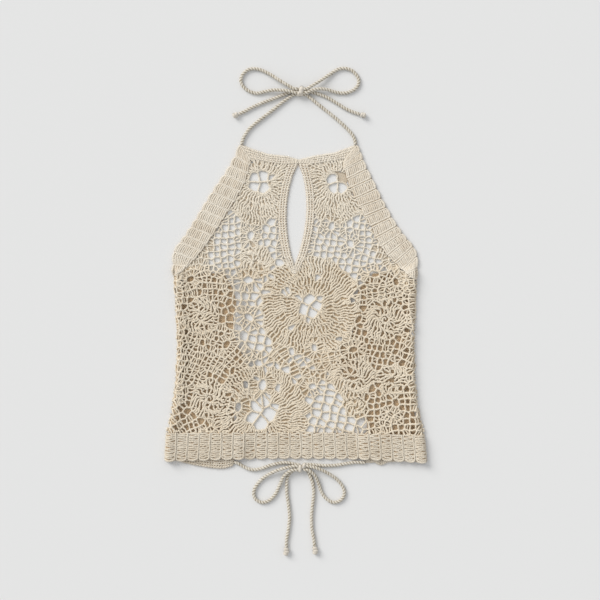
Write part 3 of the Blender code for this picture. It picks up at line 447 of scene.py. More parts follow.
def keyhole_seam(side):
    """The edge of the openwork along the slit's edging, a seam's width out of it."""
    outer = keyhole_rails(side)[1]
    drops = [SEAM if i > len(outer) / 2 else 0.0 for i in range(len(outer))]
    return [complex(x + side * 1.2 * SEAM, y - drop) for (x, y), drop in zip(outer, drops)]


def hem_rails():
    """The foot and the top of the front's hem band, with a point at each groove."""
    rails = []
    for points in (HEM_FOOT, HEM_TOP):
        start, end = points[0][0], points[-1][0]
        xs = [start + i / HEM_RIBS * (end - start) for i in range(HEM_RIBS + 1)]
        rails.append([(x, look_up(points, x, 1)) for x in xs])
    return rails


def band_rails(table):
    """The two rails of a band that is given as rows of outer x, y and inner x, y."""
    return [row[:2] for row in table], [row[2:] for row in table]


def lace_outline():
    """The edge of the openwork, anticlockwise from the hem's left end, a seam from each band."""
    hem = [complex(x, y + SEAM) for x, y in hem_rails()[1]]
    sides = [row for row in SIDE_EDGE if -190.0 < row[0] < 30.0]
    arm_right = [complex(x - SEAM, y - SEAM) for _, _, x, y in reversed(ARM_RIGHT)]
    arm_left = [complex(x + SEAM, y - SEAM) for _, _, x, y in ARM_LEFT]
    down_left, down_right = keyhole_seam(-1), keyhole_seam(1)
    neck = [complex(x, y - 1.1 * SEAM) for x, y in reversed(NECK_FOOT[1:-1])]
    outline = hem + [complex(x, y) for y, _, x in reversed(sides)] + [ARM_FEET[1]] + arm_right
    outline += [p for p in neck if p.real > down_right[0].real] + down_right + down_left[::-1]
    outline += [p for p in neck if p.real < down_left[0].real] + arm_left + [ARM_FEET[0]]
    return outline + [complex(x, y) for y, x, _ in sides]


# ---------------------------------------------------------------- where the openwork's gaps are


def motif_of(point):
    """The motif that a point belongs to, or None."""
    share, i = min((abs(point - motif[0]) / motif[2], i) for i, motif in enumerate(MOTIFS))
    return MOTIFS[i] if share < 1.0 else None


def net_of(point):
    """The net whose middle is nearest to a point."""
    return min(NETS, key=lambda net: abs(point - net[1]))


def near_window(point):
    """Whether a point is inside the ring round a window, or next to that ring."""
    return any(abs(point - middle) < WINDOW_RING * r + WINDOW_SPACE for middle, r in WINDOWS)


def window_centres(rng):
    """The middles of the windows, and of the uneven ring of openings round each."""
    centres = []
    for middle, radius in WINDOWS:
        reach = WINDOW_RING * radius
        count = round(math.tau * reach / WINDOW_PITCH)
        centres.append(middle)
        for i in range(count):
            turn = math.tau * (i + stray(rng, 0.2)) / count
            out = reach * (1.0 + 0.2 * math.sin(2 * turn + middle.real) + stray(rng, 0.08))
            point = middle + cmath.rect(out, turn)
            others = [other for other in WINDOWS if other[0] != middle]
            if all(abs(point - other) > WINDOW_RING * r for other, r in others):
                centres.append(point)
    return centres


def motif_centres(motif, rng):
    """The middles of a motif's openings: its eye, then lobed rings of slots between spokes."""
    middle, eye, reach, spoke, ring = motif
    lobes, centres = 3, [middle]
    if eye > LARGE_EYE:
        lobes = LOBES
        centres = [middle + eye * cmath.rect(1.0, middle.real) * part for part in EYE_PARTS]
    radius, row, count = eye + ring / 2, 0, 0
    while radius < reach:
        if math.tau * radius / spoke > 1.45 * count:
            count = round(math.tau * radius / spoke)
        swell = LOBE_DEPTH * (radius - eye) / (reach - eye)
        for i in range(count):
            turn = math.tau * (i + 0.5 * (row % 2) + stray(rng, 0.13)) / count
            wide = radius * (1.0 + swell * math.sin(lobes * turn + middle.imag))
            wide += (0.22 * math.sin(9 * turn + 2.0 * row) + stray(rng, 0.12)) * ring
            point = middle + cmath.rect(wide, turn + SWIRL * row)
            if motif_of(point) is motif and not near_window(point):
                centres.append(point)
        radius += ring
        row += 1
    return centres


def net_centres(net, taken, rng):
    """The middles of a net's meshes, on a gently bent grid, where no motif or other net is."""
    _, middle, across, along, turn = net
    rotation = cmath.exp(1j * math.radians(turn))
    (left, foot), (right, top) = LACE_FIELD
    centres = []
    for i in range(-NET_REACH, NET_REACH + 1):
        for j in range(-NET_REACH, NET_REACH + 1):
            u = i * across + 2.3 * math.sin(0.55 * j + 0.2 * i) + stray(rng, 0.2) * across
            v = j * along + 2.5 * math.sin(0.5 * i + 1.0) + stray(rng, 0.2) * along
            point = middle + complex(u, v) * rotation
            if not (left < point.real < right and foot < point.imag < top):
                continue
            if net_of(point) is not net or motif_of(point) or near_window(point):
                continue
            if all(abs(point - other) > SITE_SPACE for other in taken):
                centres.append(point)
    return centres


def lace_centres():
    """The middle of every opening of the openwork."""
    rng = random.Random(7)
    centres = window_centres(rng)
    for motif in MOTIFS:
        centres += motif_centres(motif, rng)
    for net in NETS:
        centres += net_centres(net, centres, rng)
    return centres


def lace_cell(middle, centres, strand):
    """The opening round a middle: the area nearer to it than to any other middle, less half a
    strand on every side. It is cut down from a square by one straight line after another."""
    near = sorted(centres, key=lambda c: abs(c - middle))[1 : NEIGHBOURS + 1]
    half = abs(near[-1] - middle)
    cell = [middle + corner * half for corner in (-1 - 1j, 1 - 1j, 1 + 1j, -1 + 1j)]
    for other in near:
        toward = ((other - middle) / abs(other - middle)).conjugate()
        limit = abs(other - middle) / 2 - strand / 2
        cell = cut_off(cell, lambda p: limit - ((p - middle) * toward).real)
        if len(cell) < 3:
            return []
    return cell


def plain_cell(cell):
    """The cell without corners that end a short side or hardly turn."""
    corners = list(cell)
    i = 0
    while len(corners) > 4 and i < len(corners):
        a, b, c = corners[i - 1], corners[i], corners[(i + 1) % len(corners)]
        cross = abs(((b - a) * (c - b).conjugate()).imag)
        if abs(b - a) < SHORT_SIDE or cross < LEAST_TURN * abs(b - a) * abs(c - b):
            if abs(b - a) < SHORT_SIDE:
                corners[i - 1] = (a + b) / 2
            corners.pop(i)
            i = max(0, i - 1)
        else:
            i += 1
    return corners


def cell_width(cell):
    """The smallest width of a cell, over the directions of its sides."""
    ways = [(a, ((b - a) / abs(b - a)).conjugate()) for a, b in edges(cell)]
    return min(max(((c - a) * way).imag for c in cell) for a, way in ways)


def is_close(point):
    """Whether the openwork is worked close at a point: along the foot of an armhole band and
    in the fold at each side."""
    if from_side(point.real, point.imag) < CLOSE_SIDE:
        return True
    rail = [complex(x, y) for _, _, x, y in (ARM_LEFT if point.real < 0.0 else ARM_RIGHT)]
    rail = [p for p in rail if p.imag < CLOSE_TOP + CLOSE_REACH]
    return point.imag < CLOSE_TOP and from_outline(point, rail + rail[::-1][1:-1]) < CLOSE_REACH


def open_middles(centres, outline):
    """The middles of the gaps that are cut through the solid: the widest ones."""
    gaps = []
    for middle in centres:
        if not inside(middle, outline) or from_outline(middle, outline) < LEAST_GAP:
            continue
        cell = lace_cell(middle, centres, STRAND)
        if len(cell) < 3 or is_close(middle):
            continue
        cell = plain_cell(cell)
        clear = all(inside(c, outline) and from_outline(c, outline) > STRAND / 2 for c in cell)
        if clear and cell_width(cell) > LEAST_GAP:
            gaps.append((area_of(cell), middle))
    gaps.sort(key=lambda gap: gap[0], reverse=True)
    return {middle for _, middle in gaps[:MOST_GAPS]}


# ---------------------------------------------------------------- threads of the openwork


def merge_close(points, reach):
    """Numbers the points so that those within reach of each other share one number, and
    gives the place of each number."""
    tree = tree_of(points)
    number, places = {}, []
    for i, point in enumerate(points):
        if i not in number:
            near = [j for _, j, _ in tree.find_range((point.real, point.imag, 0.0), reach)]
            group = [j for j in near if j not in number]
            number.update(dict.fromkeys(group, len(places)))
            places.append(sum(points[j] for j in group) / len(group))
    return number, places


def thread_graph(centres, outline):
    """Places where the openwork's threads cross, and for the middle of every opening the
    crossings round it."""
    corners, loops = [], {}
    for middle in centres:
        if inside(middle, outline) or from_outline(middle, outline) <= OUTER_CELLS:
            cell = lace_cell(middle, centres, 0.0)
            loops[middle] = range(len(corners), len(corners) + len(cell))
            corners += cell
    number, places = merge_close(corners, 0.05)
    again, places = merge_close(places, SHORT_THREAD)
    rings = {}
    for middle, loop in loops.items():
        rings[middle] = list(dict.fromkeys(again[number[i]] for i in loop))
    return places, rings


def straightest_pairs(at, others, places):
    """Pairs of links at a crossing that run on into each other with the least turn."""
    ways = {o: (places[o] - places[at]) / abs(places[o] - places[at]) for o in others}
    pairs = {}
    for turn, a, b in sorted(
        ((ways[a] * ways[b].conjugate()).real, a, b) for a, b in combinations(others, 2)
    ):
        if turn < -STRAIGHT_ON and a not in pairs and b not in pairs:
            pairs[a], pairs[b] = b, a
    return pairs


def thread_lines(places, rings):
    """The openwork's threads as lists of crossings, each run on as straight as it can."""
    sides = [side for ring in rings.values() for side in edges(ring)]
    links = {(min(a, b), max(a, b)) for a, b in sides if a != b}
    joined = {}
    for a, b in links:
        joined.setdefault(a, []).append(b)
        joined.setdefault(b, []).append(a)
    on = {at: straightest_pairs(at, sorted(others), places) for at, others in joined.items()}
    lines = []
    for first in sorted(links):
        if first not in links:
            continue
        links.discard(first)
        line = list(first)
        for _ in range(2):
            while (ahead := on[line[-1]].get(line[-2])) is not None:
                step = (min(line[-1], ahead), max(line[-1], ahead))
                if step not in links:
                    break
                links.discard(step)
                line.append(ahead)
            line.reverse()
        lines.append([places[i] for i in line])
    return lines


def spoke_place(motif, turn, radius, parent=None, start=0.0):
    """Where a motif's spoke is at a radius. A spoke forks off its parent's turn at its start,
    and neighbours sway alike."""
    middle, eye, reach, _, _ = motif
    if parent is not None:
        turn = parent + smoothstep((radius - start) / FORK_LENGTH) * (turn - parent)
    swirl, swing = SPOKE_WAVES[1 if eye < LARGE_EYE else 0]
    bent = turn + swirl * (radius - eye) / reach
    sway = swing * math.sin(math.tau * radius / 19.0 + 2.0 * math.sin(2 * turn) + middle.real)
    sway += 0.35 * math.sin(math.tau * radius / 7.4 + 25.0 * turn)
    return middle + cmath.rect(1.0, bent) * complex(radius, sway)


def motif_spokes(motif, rng):
    """A motif's spokes, each as its turn, the radius it starts at and the turn it forks from;
    and the spaces between them, each as two turns and the two radii it runs between."""
    _, eye, reach, spoke, ring = motif
    first, last = max(0.8 * eye, 2.0), SPOKE_REACH * reach
    count = max(5, round(math.tau * (eye + ring / 2) / spoke))
    turns = [math.tau * (i + stray(rng, 0.2)) / count for i in range(count)]
    spokes = [(turn, first, None) for turn in turns]
    waiting = [(a, b, first) for a, b in zip(turns, turns[1:] + [turns[0] + math.tau])]
    spaces = []
    while waiting:
        a, b, low = waiting.pop()
        split = FORK_WIDTH * spoke * rng.uniform(0.8, 1.2) / (b - a)
        spaces.append((a, b, low, min(split, last)))
        if split < last:
            middle = (a + b) / 2
            spokes.append((middle, split, rng.choice((a, b))))
            waiting += [(a, middle, split), (middle, b, split)]
    return spokes, spaces


def motif_threads(motif, motif_at, rng):
    """The threads of a motif's close openings, in two lists: wavy spokes, and the short links
    from each spoke to the next. Motif_at gives the motif that is worked close at a point."""
    middle, eye, reach, _, ring = motif
    last = SPOKE_REACH * reach
    spokes, spaces = motif_spokes(motif, rng)
    lines, links = [], []
    for turn, start, parent in spokes:
        radii = [start + i * SPOKE_STEP for i in range(round((last - start) / SPOKE_STEP))]
        points = [spoke_place(motif, turn, radius, parent, start) for radius in radii]
        lines += runs(points, lambda p: motif_at(p) is motif)
    lines = [run[:-1:3] + run[-1:] for run in lines if len(run) > 3]
    if LEAST_CURL < eye < LARGE_EYE:
        curl = [(1.2 + 0.75 * eye * i / 16, middle.real + 0.55 * i) for i in range(17)]
        lines.append([middle + cmath.rect(radius, turn) for radius, turn in curl])
    for a, b, low, high in spaces:
        off = rng.choice((0.0, rng.random()))
        for k in range(round(last / ring) + 1):
            radius = eye + (k + off + stray(rng, 0.12)) * LINK_PITCH * ring
            radius *= 1.0 + LOBE_DEPTH * math.sin(LOBES * a + middle.imag)
            if low + FORK_LENGTH / 2 < radius < high:
                slant = stray(rng, 1.3)
                ends = [spoke_place(motif, a, radius), spoke_place(motif, b, radius + slant)]
                between = sum(ends) / 2
                if motif_at(between) is motif:
                    links.append([ends[0], between, ends[1]])
    return lines, links


def extra_lines(places, rings, skipped, rng):
    """Short bent threads in some of the openings that aren't cut: down the middle of a broad
    one, and across a long one."""
    lines = []
    for middle, ring in rings.items():
        if middle in skipped or len(ring) < 4:
            continue
        share = 1.0 if is_close(middle) else EXTRA_SHARE
        corners = [places[i] for i in ring]
        centre = sum(corners) / len(corners)
        along = cmath.exp(0.5j * cmath.phase(sum((p - centre) ** 2 for p in corners)))
        turned = [(p - centre) * along.conjugate() for p in corners]
        length, width = extent(p.real for p in turned), extent(p.imag for p in turned)
        if width > BROAD_SLOT and rng.random() < share:
            reach, aside = along * length, along * 1j
        elif length > LONG_SLOT and motif_of(middle) is None and rng.random() < share:
            reach, aside = along * 1j * width, along
        else:
            continue
        start = centre - reach / 2 + aside * stray(rng, 0.6)
        end = centre + reach / 2 + aside * stray(rng, 0.6)
        lines.append([start, centre + aside * stray(rng, 0.8), end])
    return lines


# ---------------------------------------------------------------- meshes


def add_object(name, data):
    obj = bpy.data.objects.new(name, data)
    bpy.context.scene.collection.objects.link(obj)
    return obj


def add_piece(name, verts, faces, material, smooth=False):
    """A mesh object, from points in millimetres."""
    data = bpy.data.meshes.new(name)
    data.from_pydata((np.array(verts) * MM).tolist(), [], faces)
    data.materials.append(material)
    data.polygons.foreach_set("use_smooth", np.full(len(data.polygons), smooth))
    return add_object(name, data)


def quads(grid):
    """The values at the four corners of each cell of a grid, in order round the cell."""
    return np.stack([grid[:-1, :-1], grid[:-1, 1:], grid[1:, 1:], grid[1:, :-1]], axis=2)


class Yarn:
    """Gathers twisted threads into one mesh, with UVs that run round and along each thread."""

    def __init__(self):
        self.verts, self.faces, self.uvs, self.tints = [], [], [], []
        self.size = 0

    def thread(self, line, radius, sides=8, groove=0.16, turn=PLY_TURN, tone_and_shade=1.0):
        """Adds a thread along an array of points, of one radius or of one for each point."""
        count = len(line)
        ahead = np.gradient(line, axis=0)
        ahead /= np.maximum(np.linalg.norm(ahead, axis=1), 1e-9)[:, None]
        side = np.cross(ahead, (0.0, 0.0, 1.0))
        upright = np.linalg.norm(side, axis=1) < 0.2
        side[upright] = np.cross(ahead[upright], (1.0, 0.0, 0.0))
        side /= np.linalg.norm(side, axis=1)[:, None]
        up = np.cross(side, ahead)
        run = run_of(line)
        around = math.tau * np.arange(sides) / sides
        phase = PLIES * (around[None, :] - math.tau * run[:, None] / turn)
        out = np.broadcast_to(radius, count)[:, None]
        out = out * (1.0 - groove / 2 + groove * np.abs(np.cos(phase / 2)))
        rings = line[:, None, :] + (out * np.cos(around))[:, :, None] * side[:, None, :]
        rings = rings + (out * np.sin(around))[:, :, None] * up[:, None, :]
        grid = self.size + np.arange(count * sides).reshape(count, sides)
        places = np.stack(np.meshgrid(np.arange(sides + 1) / sides, run / turn), axis=-1)
        self.verts.append(rings.reshape(-1, 3))
        self.faces += quads(np.hstack([grid, grid[:, :1]])).reshape(-1, 4).tolist()
        self.faces += [grid[0, ::-1].tolist(), grid[-1].tolist()]
        self.uvs += [quads(places).reshape(-1, 2), np.zeros((2 * sides, 2))]
        # a share that darkens the whole thread: random tone, and painted shade on crowded ribs and
        # groove threads
        self.tints.append(np.full(count * sides, tone_and_shade))
        self.size += count * sides

    def build(self, name, material):
        """Makes the mesh object."""
        verts = np.concatenate(self.verts)
        piece = add_piece(name, verts, self.faces, material, smooth=True)
        layer = piece.data.uv_layers.new(name="yarn")
        layer.data.foreach_set("uv", np.concatenate(self.uvs).astype(np.float32).ravel())
        tone_and_shade = piece.data.attributes.new("tone_and_shade", "FLOAT", "POINT")
        tone_and_shade.data.foreach_set("value", np.concatenate(self.tints).astype(np.float32))
        return piece


# ---------------------------------------------------------------- materials


class Look:
    """A Principled material without gloss, and short ways to add nodes to it."""

    def __init__(self, name, roughness):
        self.material = bpy.data.materials.new(name)
        self.material.use_nodes = True
        tree = self.material.node_tree
        self.nodes, self.links = tree.nodes, tree.links
        self.shader = self.nodes["Principled BSDF"]
        self.shader.inputs["Roughness"].default_value = roughness
        self.shader.inputs["Specular IOR Level"].default_value = 0.18

    def feed(self, socket, value):
        """Sets a socket to a number or a colour, or links another node's output to it."""
        if isinstance(value, bpy.types.NodeSocket):
            self.links.new(value, socket)
        else:
            socket.default_value = (*value, 1.0) if isinstance(value, tuple) else value

    def math(self, operation, *values):
        node = self.nodes.new("ShaderNodeMath")
        node.operation = operation
        for socket, value in zip(node.inputs, values):
            self.feed(socket, value)
        return node.outputs[0]

    def split(self, place):
        """The x and the y of a place."""
        node = self.nodes.new("ShaderNodeSeparateXYZ")
        self.feed(node.inputs[0], place)
        return node.outputs["X"], node.outputs["Y"]

    def place(self):
        """Object coordinates."""
        return self.nodes.new("ShaderNodeTexCoord").outputs["Object"]

    def noise(self, scale, detail=3.0):
        """Noise in object coordinates, at a scale in cycles a metre."""
        node = self.nodes.new("ShaderNodeTexNoise")
        for name, value in (("Scale", scale), ("Detail", detail), ("Vector", self.place())):
            self.feed(node.inputs[name], value)
        return node.outputs["Fac"]

    def paint(self, share, light, dark):
        """Colours the shader with a mix of two colours, by a share from 0 to 1."""
        node = self.nodes.new("ShaderNodeMix")
        node.data_type = "RGBA"
        for name, value in (("Factor", share), ("A", light), ("B", dark)):
            self.feed(node.inputs[name], value)
        self.feed(self.shader.inputs["Base Color"], node.outputs["Result"])

    def finish(self, shade, colours, height, distance):
        """Paints the light and the dark colour by a shade, adds relief, and gives the material."""
        clamp = self.nodes.new("ShaderNodeClamp")
        self.feed(clamp.inputs["Value"], shade)
        self.paint(clamp.outputs[0], *colours)
        bump = self.nodes.new("ShaderNodeBump")
        for name, value in (("Distance", distance), ("Strength", 0.8), ("Height", height)):
            self.feed(bump.inputs[name], value)
        self.feed(self.shader.inputs["Normal"], bump.outputs["Normal"])
        return self.material


def yarn_material(name, groove_shade=0.45, narrow=2.0, patchy=0.9, uneven_shade=0.0):
    """Twisted cotton: painted shade in the groove between the plies, which is narrower for a higher
    exponent and stronger in some places than in others, with fibres and patches of dye."""
    look = Look(f"cotton_{name}", 0.88)
    look.shader.inputs["Sheen Weight"].default_value = 0.12
    uv = look.nodes.new("ShaderNodeUVMap")
    uv.uv_map = "yarn"
    turned = look.math("SUBTRACT", *look.split(uv.outputs["UV"]))
    wave = look.math("COSINE", look.math("MULTIPLY", turned, PLIES * math.pi))
    ridge = look.math("ABSOLUTE", wave)
    # painted shade: the colour darkens in the groove between the plies
    groove = look.math("POWER", look.math("SUBTRACT", 1.0, ridge), narrow)
    shade = look.math("MULTIPLY", groove, groove_shade)
    # noise makes the groove's painted shade stronger in some places and weaker in others
    if uneven_shade:
        kept = look.math("MULTIPLY_ADD", look.noise(190.0, 1.0), uneven_shade, 1.0 - 0.5 * uneven_shade)
        shade = look.math("MULTIPLY", shade, kept)
    fibres = look.noise(2600.0, 2.0)
    shade = look.math("ADD", shade, look.math("MULTIPLY_ADD", fibres, 0.7, -0.315))
    patches = look.math("MULTIPLY_ADD", look.noise(28.0, 4.0), patchy, -0.5 * patchy)
    shade = look.math("ADD", shade, patches)
    # each thread is darker by its share: random tone, or painted shade
    tone_and_shade = look.nodes.new("ShaderNodeAttribute")
    tone_and_shade.attribute_name = "tone_and_shade"
    shade = look.math("ADD", shade, look.math("SUBTRACT", 1.0, tone_and_shade.outputs["Fac"]))
    height = look.math("MULTIPLY_ADD", fibres, 0.5, ridge)
    return look.finish(shade, COTTON[name], height, 0.0005)


def fabric_material(name, row=CLOSE_ROW):
    """Close crochet: rows of slanting stitches in object coordinates, painted shade between them.
    """
    look = Look(f"cotton_{name}", 0.92)
    x, y = look.split(look.place())
    y = look.math("MULTIPLY_ADD", look.noise(60.0), 0.004, y)
    rows = look.math("SINE", look.math("MULTIPLY", y, math.tau / (row * MM)))
    x = look.math("MULTIPLY_ADD", rows, 0.0009, x)
    stitches = look.math("SINE", look.math("MULTIPLY", x, math.tau / (row * 0.8 * MM)))
    pattern = look.math("MULTIPLY_ADD", look.math("ADD", rows, stitches), 0.25, 0.5)
    fibres = look.noise(1900.0, 2.0)
    # painted shade: darker between the rows and stitches, with fibres
    shade = look.math("SUBTRACT", look.math("ADD", fibres, 0.5), pattern)
    height = look.math("MULTIPLY_ADD", fibres, 0.2, pattern)
    return look.finish(shade, COTTON[name], height, 0.0014)


# ---------------------------------------------------------------- the openwork front


def lace_part(point):
    """Which piece of the openwork a point belongs to."""
    if point.imag > YOKE_LINE:
        return "yoke"
    return "left" if point.real < 0.0 else "right"


def has_ground(middle):
    """Whether the openwork is worked so close round a middle that nothing shows through: in
    a motif or along a band, where no back panel lies behind it."""
    if is_close(middle):
        return True
    over_back = past_back(middle.real, middle.imag) < -2.0 and middle.imag < BACK_TOP - 2.0
    return (motif_of(middle) or net_of(middle)[0] == "mid_low") and not over_back


def lace_ground(part, places, rings, opened, outline, material):
    """The thin close cloth behind the slots of the motifs, as one shell with its own edges. Its
    colour is painted shade seen in the slots.
    """
    corners, faces = {}, []
    for middle, ring in rings.items():
        if middle in opened or len(ring) < 3 or lace_part(middle) != part:
            continue
        if inside(middle, outline) and has_ground(middle):
            faces.append([corners.setdefault(i, len(corners)) for i in ring])
    tops, feet = [], []
    for i in corners:
        place = places[i] if inside(places[i], outline) else nearest_on(places[i], outline)
        x, y = place.real, place.imag
        tops.append((x, y, underside(x, y) + GROUND_TOP))
        feet.append((x, y, underside(x, y) + GROUND_FOOT))
    count = len(corners)
    sides = dict.fromkeys(side for face in faces for side in edges(face))
    walls = [(a, a + count, b + count, b) for a, b in sides if (b, a) not in sides]
    under = [[i + count for i in reversed(face)] for face in faces]
    return add_piece(f"front_lace_ground_{part}", tops + feet, faces + under + walls, material)


def runs_inside(line, outline):
    """A thread's even points in space, in runs that stay inside the openwork's outline."""
    x, y, _ = evenly(smooth_line([(p.real, p.imag, 0.0) for p in line], 6), YARN_STEP).T
    at = np.arange(len(x)) * YARN_STEP
    phase = line[0].real + 2.3 * line[0].imag
    sway = 0.3 * np.sin(math.tau * at / 5.6 + 1.7 * phase)
    sway += 0.25 * np.sin(math.tau * at / 13.0 + 0.7 * phase)
    height = np.array([underside(*place) for place in zip(x, y)]) + THREAD_HEIGHT
    height += 0.42 * np.sin(math.tau * at / 8.5 + phase)
    thread = np.stack([x + sway, y + sway, height], axis=1)
    places = [complex(*place) for place in zip(x, y)]
    kept = [inside(p, outline) or from_outline(p, outline) < LACE_TUCK for p in places]
    return [thread[run] for run in runs(range(len(x)), kept.__getitem__) if len(run) > 2]


def lace_pieces(materials):
    """The openwork's threads, its short links and the close ground behind its narrow slots,
    each in three pieces: the yoke, and the left and right of the body. Each part's materials
    are its threads' and its ground's."""
    outline, centres = lace_outline(), lace_centres()
    opened = open_middles(centres, outline)
    closed = {
        middle: motif_of(middle) for middle in centres
        if middle not in opened and motif_of(middle) and not near_window(middle)
    }
    places, rings = thread_graph(centres, outline)
    net = {middle: ring for middle, ring in rings.items() if middle not in closed}
    rng = random.Random(11)
    tree = tree_of(centres)

    def motif_at(point):
        """The motif that is worked close at a point, or None."""
        return closed.get(centres[tree.find((point.real, point.imag, 0.0))[1]])

    lines = [(line, NET_YARN, 0.0, True) for line in thread_lines(places, net)]
    links = [(line, 0.8 * NET_YARN) for line in extra_lines(places, net, opened, rng)]
    for motif in MOTIFS:
        spokes, short = motif_threads(motif, motif_at, rng)
        lines += [(line, MOTIF_YARN, 0.1, False) for line in spokes]
        links += [(line, LINK_YARN) for line in short]
    yarns = {part: (Yarn(), Yarn()) for part in materials}
    for line, base, higher, knotted in lines:
        for run in runs_inside(line, outline):
            part = lace_part(complex(*run[len(run) // 2][:2]))
            radius = base * rng.uniform(0.88, 1.1)
            if knotted:
                knots = np.array([[p.real, p.imag] for p in line])
                away = np.linalg.norm(run[:, None, :2] - knots[None], axis=2).min(axis=1)
                radius *= YOKE_THINNER if part == "yoke" else 1.0
                radius = radius * (1.0 + KNOT_SWELL * np.exp(-((away / 1.3) ** 2)))
            run[:, 2] += higher
            yarns[part][0].thread(run, radius, tone_and_shade=rng.uniform(0.86, 1.1))
    for line, base in links:
        for run in runs_inside(line, outline):
            part = lace_part(complex(*run[len(run) // 2][:2]))
            run[:, 2] -= LINK_SINK
            radius = base * rng.uniform(0.85, 1.1)
            yarns[part][1].thread(run, radius, tone_and_shade=rng.uniform(0.75, 1.0))
    made = []
    for part, (threads, short) in yarns.items():
        material, shade = materials[part]
        lace = threads.build(f"front_lace_{part}", material)
        linked = short.build(f"front_lace_links_{part}", material)
        ground = lace_ground(part, places, rings, opened, outline, shade)
        cut, on = cut_off(outline, lambda p: p.imag - YOKE_LINE), ()
        if part != "yoke":
            cut = cut_off(outline, lambda p: YOKE_LINE - p.imag)
            cut = cut_off(cut, lambda p: -p.real if part == "left" else p.real)
            on = (f"back_panel_{part}",)
        state_sheet(cut)
        made += [lace, ground, linked]
    return made


def state_sheet(outline):
    """Works out the width, length and area of an outline, and does nothing with them."""
    width, length = extent(p.real for p in outline), extent(p.imag for p in outline)
    abs(area_of(outline)) * MM * MM


# ---------------------------------------------------------------- bands and edgings


